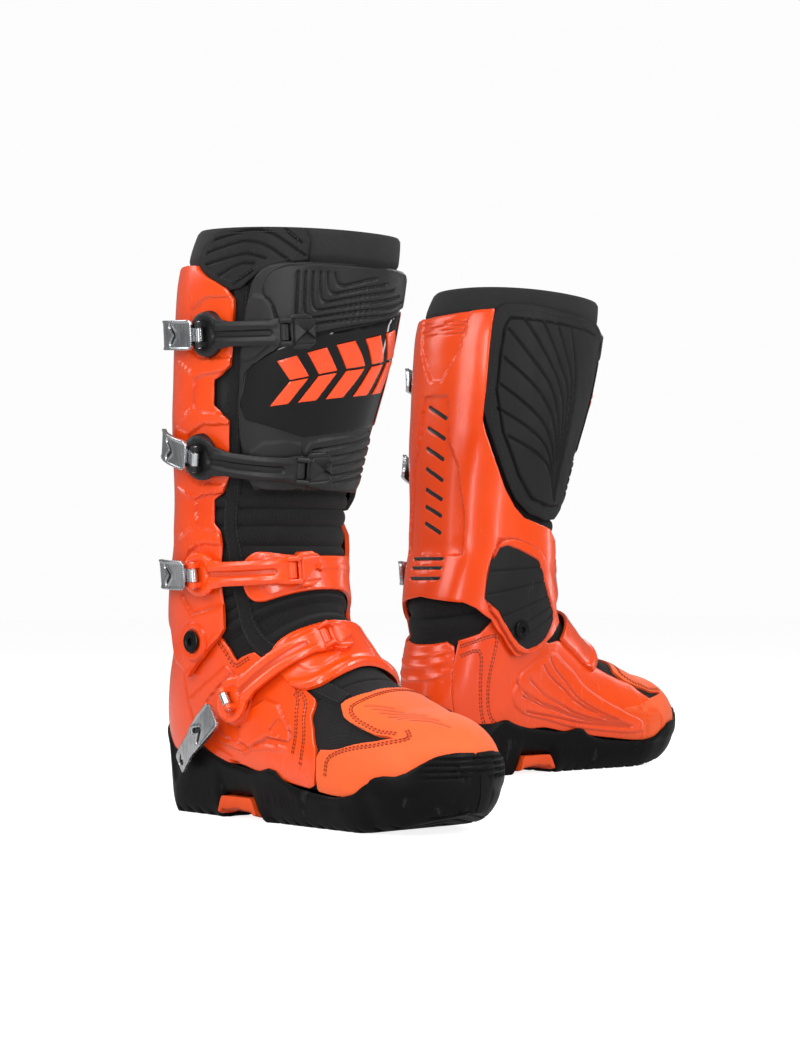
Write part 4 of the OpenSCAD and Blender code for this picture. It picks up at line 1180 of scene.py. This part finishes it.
BUCKLES = [[3.68, -43, 3.64, -87, 12, 1.93], [7.87, -22, 7.46, -86, 12.3, 1.68], [12.1, -26, 11.74, -86, 13.6, 1.7],
           [19.11, -21.5, 18.06, -87, 12.4, 1.6]]
BLACK = 2  # the first buckles, with black fittings and straps
ON_CUFF = 3  # the buckles on the cuff; the last one is on the instep
HUB = 15.5  # radius of a strap's round end
PIN = 2, 5.6  # the lever's pin, past the middle of the round end and above the strap's middle
SEAT = 7.5, 6, 3.9  # offsets that the fittings start from: the cuff's shells, the bands, the foot's shells


class Buckle:
    """One buckle's own frame: q runs along the strap from its hinge, h outward and v across."""

    def __init__(self, row):
        self.row, self.off = row, row[4]
        self.origin, hub = self.at(0, self.off), self.at(1, self.off)
        self.length = np.linalg.norm(hub - self.origin)
        self.u = (hub - self.origin) / self.length
        s, t = row[2], mix(row[1], row[3], .6)
        n = np.cross(form(s + .2, t) - form(s - .2, t), form(s, t + 2) - form(s, t - 2))
        n = n / np.linalg.norm(n) * np.sign(n @ (form(s, t, 1) - form(s, t, 0)))
        n -= (n @ self.u) * self.u
        self.n = n / np.linalg.norm(n)
        self.w = np.cross(self.n, self.u)

    def at(self, t, off):
        a, b, c, d = self.row[:4]
        return form(mix(a, c, t), mix(b, d, t), off)

    def curve(self, first, last, off, off_end=None, pitch=1.0):
        """Evenly spaced points (q, h) on the strap's path between two distances along it, with their normals."""
        t = np.linspace(first, last, 60) / self.length
        p = self.at(t, np.linspace(off, off if off_end is None else off_end, 60)) - self.origin
        line = evenly(np.stack([p @ self.u, p @ self.n], 1), pitch)
        d = np.gradient(line, axis=0)
        d /= np.linalg.norm(d, axis=1, keepdims=True)
        return line, np.stack([-d[:, 1], d[:, 0]], 1)

    def point(self, q, h, v):
        return self.origin + q[..., None] * self.u + h[..., None] * self.n + v[..., None] * self.w

    def plate(self, line, up, half, low, high, relief, edge, across):
        """A bent plate: half is its half width at each point of the line, low and high lie either side of it."""
        k = np.linspace(-1, 1, across + 1)
        v = np.asarray(half)[:, None] * k
        q = np.repeat(line[:, :1], across + 1, 1)
        extra, cavity, ink = relief(q, v)

        def lift(z):
            return self.point(q + up[:, :1] * z, line[:, 1:2] + up[:, 1:2] * z, v)
        top = lift(high + 0 * q)
        rim = np.vstack([evenly(r, .5) for r in (top[0], top[-1], top[:, 0], top[:, -1])])
        d = np.clip(near(top, rim) / edge, 0, 1)
        return skin(lift(high + extra - edge * (1 - np.sqrt(1 - (1 - d) ** 2)) * .85), lift(low + 0 * q), cavity, ink)

    def block(self, outline, v0, v1, chamfer=.5):
        """A prism across the buckle from an outline of (q, h), with chamfered ends."""
        o = np.asarray(outline, float)
        middle = o.mean(0)
        inset = o + (middle - o) / np.linalg.norm(middle - o, axis=1, keepdims=True) * chamfer
        rings = [(inset, v0), (o, v0 + chamfer), (o, v1 - chamfer), (inset, v1)]
        points = np.concatenate([self.point(r[:, 0], r[:, 1], np.full(len(o), v)) for r, v in rings])
        faces = stacked(len(rings), len(o))
        turning = np.sum(o[:, 0] * np.roll(o[:, 1], -1) - np.roll(o[:, 0], -1) * o[:, 1])
        # v runs along w = h x q, so an outline that turns from q to h needs its faces reversed
        return Solid().add(points, [f[:, ::-1] for f in faces] if turning > 0 else faces)


def plane_distance(q, v, lines):
    points = np.vstack([np.pad(evenly(np.array(line, float), .4), ((0, 0), (0, 1))) for line in lines])
    return near(np.stack([q, v, 0 * q], -1), points)


def arc(q, h, r, first, last, n=14):
    a = np.radians(np.linspace(first, last, n))
    return [(q + r * math.cos(x), h + r * math.sin(x)) for x in a]


def strap(b, black):
    line, up = b.curve(-1.6, b.length * 1.42, b.off, pitch=.9)
    keep = line[:, 0] < b.length + HUB - .15
    end = b.length + HUB - .12  # just short of the round end's tip, where the plate still has some width
    last = [end, np.interp(end, line[:, 0], line[:, 1])]
    line, up = np.vstack([line[keep], last]), np.vstack([up[keep], up[keep][-1]])
    q = line[:, 0]
    waist = mix(10, 8.6, smooth((q - 2) / 8) * smooth((b.length - 14 - q) / 8))
    disc = np.sqrt(np.clip(HUB ** 2 - (q - b.length) ** 2, 0, None)) * (q > b.length - 13)
    half = np.maximum(np.maximum(np.where(q > b.length, 0, waist), disc) * smooth((q + 8) / 6), .6)

    def relief(q, v):
        body = smooth((b.length - 8 - q) / 5) * smooth((q - 3) / 4)
        ribs = .9 * body * np.exp(-((np.abs(v) - 5.4) / 1.7) ** 2)
        d = plane_distance(q, v, [[(b.length * .16, 0), (b.length - 9, 0)]])
        slot = smooth((2.6 - d) / 1.2)
        r = np.hypot(q - b.length, v)
        rim = .5 * np.exp(-((r - 12.6) / 1.5) ** 2) * (q > b.length - 9)
        dish = -.7 * smooth((10.5 - r) / 2)
        # painted shade in the slot and in a ring round the dish of the round end
        dark = np.exp(-((r - 10.4) / .7) ** 2) * .5 * (q > b.length - 9)
        return ribs + rim + dish - 1.5 * slot, np.maximum(slot * .8, dark), smooth((1.9 - d) / .6) * black
    solid = b.plate(line, up, half, -1.5, 1.5, relief, 1.1, 26)
    solid.join(b.block(arc(0, 0, 3.4, 0, 345, 24), -6, 6, .6))
    ear = [(b.length - 3, .8), *arc(b.length + PIN[0], PIN[1], 3, 170, 10, 12), (b.length + 6.5, .8)]
    for v0, v1 in ((-9, -5), (5, 9)):
        solid.join(b.block(ear, v0, v1, .5))
    return solid


def anchor(b, i):
    base = SEAT[0] if i < BLACK else SEAT[1]
    line, up = b.curve(-23, -4.6, b.off + 1.2, b.off + 1.9, .5)
    q = line[:, 0]
    half = np.minimum(12, np.minimum(8.5 + (q - q[0]) * .9, 10 + (q[-1] - q) * 1.2))

    def relief(q, v):
        a, c = np.abs(q + 14) / 7.5, np.abs(v) / 8.5
        f = 1 - np.maximum(a, c)
        border = np.exp(-(np.minimum(np.abs(f), 1) / .06) ** 2)
        # the facets at the plate's ends rise to the middle, the ones along its sides sink towards it; the sunken side
        # facets and the crease round the border get painted shade
        sink = smooth((c - a) / .08 + .5)
        hatch = .12 * np.sin((q + v) * 4) * (1 - sink) * (f > .1)
        return np.clip(f, 0, 1) * mix(2.4, -1.6, sink) + hatch - .7 * border, border * .8 + .25 * sink * (f > 0), 0 * q
    solid = b.plate(line, up, half, base - b.off - 2, 0, relief, 1.0, 44)
    for v0, v1 in ((6.3, 9.6), (-9.6, -6.3)):
        solid.join(b.block([*arc(0, 0, 4.3, -90, 90, 14), (-7.5, 3.4), (-7.5, -4.3)], v0, v1, .7))
    return solid.join(b.block(arc(0, 0, 1.5, 0, 330, 12), -7.5, 7.5, .2))


def catch(b, i):
    top = -2.2
    deep = (SEAT[0] if i < ON_CUFF else SEAT[2]) - b.off - 2.4
    return lathe(b.origin + b.u * b.length, b.n, [
        (.01, deep), (16.5, deep), (16.2, deep + 1.6), (14.6, top - .7), (13.8, top), (11.6, top), (11.2, top - .4),
        (10.8, top), (.01, top)])


def lever(b, i):
    first = b.length + 6
    last = b.length * b.row[5]
    line, up = b.curve(first, last, b.off + 5.4, b.off + 2.4, .7)
    run = np.concatenate([[0], np.cumsum(np.linalg.norm(np.diff(line, axis=0), axis=1))])
    whole = run[-1]
    curl = np.clip((run - whole + 5) / 5, 0, 1) ** 2
    line = line - up * (curl * 1.2)[:, None]
    corner = np.sqrt(np.clip(1 - np.clip((run - whole + 5) / 5, 0, 1) ** 2, 0, 1))
    share = run / whole
    wide = 10.5 if i < ON_CUFF else mix(10.5, 7.6, smooth(share)) - 1.0 * np.exp(-((share - .62) / .12) ** 2)
    half = np.minimum(wide, 7.5 + run * 1.0) - 4.2 * (1 - corner)

    def relief(q, v):
        f = np.interp(q, line[:, 0], run) if line[-1, 0] > line[0, 0] else np.interp(-q, -line[:, 0], run)
        if i < ON_CUFF:
            a = whole * .38
            cuts = [[(a + 8, -6), (a, 0), (a + 8, 6)]]
            slot = [[(whole - 6, -5), (whole - 6, 5)]]
        else:
            a = whole * .3
            cuts = [[(a + 8, -4.8), (a, 0), (a + 8, 4.8)]]
            slot = [[(whole - 10, -2.6), (whole - 5, 0), (whole - 10, 2.6)]]
        d, e = plane_distance(f, v, cuts), plane_distance(f, v, slot)
        hole = np.maximum(smooth((2.1 - d) / .7), smooth((2.1 - e) / .7))
        lip = .35 * np.exp(-((d - 2.9) / .8) ** 2) + .5 * smooth((np.abs(v) - 8.2) / 1.4)
        # the windows get painted shade and the dark fill that the aluminium shows as near black
        return lip - 1.9 * hole, hole * .9, hole
    solid = b.plate(line, up, half, -1.2, 1.2, relief, .8, 40)
    pin = b.length + PIN[0]
    web = [(pin, 8.2), (pin, 5.2), (first + 3, line[3, 1] - 1.2), (first + 3, line[3, 1] + 1.1)]
    solid.join(b.block(arc(pin, PIN[1], 3, 0, 345, 24), -4.7, 4.7, .4)).join(b.block(web, -4.7, 4.7, .4))
    return solid.join(b.block(arc(pin, PIN[1], 1.5, 0, 330, 12), -9.5, 9.5, .2))


frames = [Buckle(row) for row in BUCKLES]
for i, b in enumerate(frames):
    black = i < BLACK
    both(strap(b, black), f"strap_{i + 1}_moulding", f"strap_{i + 1}", [PLASTIC if black else ORANGE],
         [f"strap_{i + 1}"])
    both(lever(b, i), f"lever_{i + 1}_plate", f"lever_{i + 1}", [ALUMINIUM], [f"lever_{i + 1}"])


def fittings(kind):
    """The cuff's three fittings of one kind: black for the upper two buckles, orange for the third."""
    solid = Solid()
    for i in range(ON_CUFF):
        solid.join(kind(frames[i], i), int(i >= BLACK))
    return solid


both(fittings(anchor), "cuff_anchor_housings", "cuff", [PLASTIC, ORANGE], ["cuff_anchors"])
both(fittings(catch), "cuff_catch_seats", "cuff", [PLASTIC, ORANGE], ["cuff_catches"])
both(anchor(frames[3], 3).join(catch(frames[3], 3)), "instep_anchor_and_seat", "foot", [ORANGE],
     ["instep_fittings"])

# ---- Floor, light and camera ----

CENTRE = Vector((.08224, -.18406, 0))  # the point on the floor that the camera stands back from


def floor_and_light():
    mesh = bpy.data.meshes.new("floor")
    n, size = 12, 6.0  # points along each side, and half the side in metres
    xs = np.linspace(-size, size, n)
    points = np.stack([*np.meshgrid(xs, xs), np.zeros((n, n))], -1).reshape(-1, 3)
    i, j = np.arange(n - 1)[:, None] * n, np.arange(n - 1)
    faces = np.stack([i + j, i + j + 1, i + n + j + 1, i + n + j], -1).reshape(-1, 4)
    mesh.from_pydata(points.tolist(), [], faces.tolist())
    floor = bpy.data.objects.new("floor", mesh)
    m = Tree("paper")
    m.put(m.shader, "Base Color", m.mixed(m.noise(3, 2), (.5, .5, .5, 1), (.52, .52, .52, 1)))
    m.shader.inputs["Roughness"].default_value = .9
    m.shader.inputs["Emission Color"].default_value = (1, 1, 1, 1)
    # brighter to the camera than to the boots, so that the paper is white without lighting them from below
    glow = m.node("MapRange", Value=m.nodes.new("ShaderNodeLightPath").outputs["Is Camera Ray"], To_Min=.12, To_Max=.86)
    m.put(m.shader, "Emission Strength", glow.outputs[0])
    m.shader.inputs["Specular IOR Level"].default_value = .1
    mesh.materials.append(m.material)
    bpy.context.scene.collection.objects.link(floor)
    world = bpy.data.worlds.new("studio")
    world.use_nodes = True
    bpy.context.scene.world = world
    # the world gives a dim even light, while the camera sees plain white behind the floor
    tree = world.node_tree
    tree.nodes["Background"].inputs[0].default_value = (1, 1, 1, 1)
    seen = tree.nodes.new("ShaderNodeLightPath").outputs["Is Camera Ray"]
    strength = tree.nodes.new("ShaderNodeMapRange")
    strength.inputs["To Min"].default_value, strength.inputs["To Max"].default_value = .2, .98
    tree.links.new(seen, strength.inputs["Value"])
    tree.links.new(strength.outputs[0], tree.nodes["Background"].inputs[1])
    # azimuth, height, distance, width, length, power: soft boxes above, and two upright strips for the gloss
    for k, (azimuth, height, distance, width, length, power) in enumerate([
            (2, 1.1, 1.6, .6, 1.0, 10), (108, .9, 1.5, .4, .7, 11), (215, 1.5, 1.8, .9, 1.4, 13),
            (300, 1.2, 1.7, .6, 1.0, 6), (60, 2.0, 1.0, .9, 1.4, 17), (84, .5, 1.5, .08, 1.0, 3.2),
            (30, .5, 1.5, .2, 1.0, 7), (-12, .4, 1.5, .1, 1.1, 1.2), (170, .4, 1.5, .1, 1.1, 2.5)]):
        a = math.radians(azimuth)
        light = bpy.data.objects.new(f"softbox_{k}", bpy.data.lights.new(f"softbox_{k}", "AREA"))
        light.data.shape, light.data.size, light.data.size_y, light.data.energy = "RECTANGLE", width, length, power
        light.location = Vector((math.sin(a) * distance, -math.cos(a) * distance, height))
        light.rotation_euler = (Vector((0, 0, .2)) - light.location).to_track_quat("-Z", "Y").to_euler()
        bpy.context.scene.collection.objects.link(light)


def camera():
    data = bpy.data.cameras.new("camera")
    obj = bpy.data.objects.new("camera", data)
    azimuth, distance, height = math.radians(47), 1.8, .177
    back = Vector((math.sin(azimuth), -math.cos(azimuth), 0))
    obj.location = CENTRE + back * distance + Vector((0, 0, height))
    obj.rotation_euler = back.to_track_quat("Z", "Y").to_euler()
    data.lens, data.sensor_width, data.shift_y = 85.8, 36, .046
    bpy.context.scene.collection.objects.link(obj)
    bpy.context.scene.camera = obj


floor_and_light()
camera()
bpy.context.scene.view_settings.view_transform = "Standard"
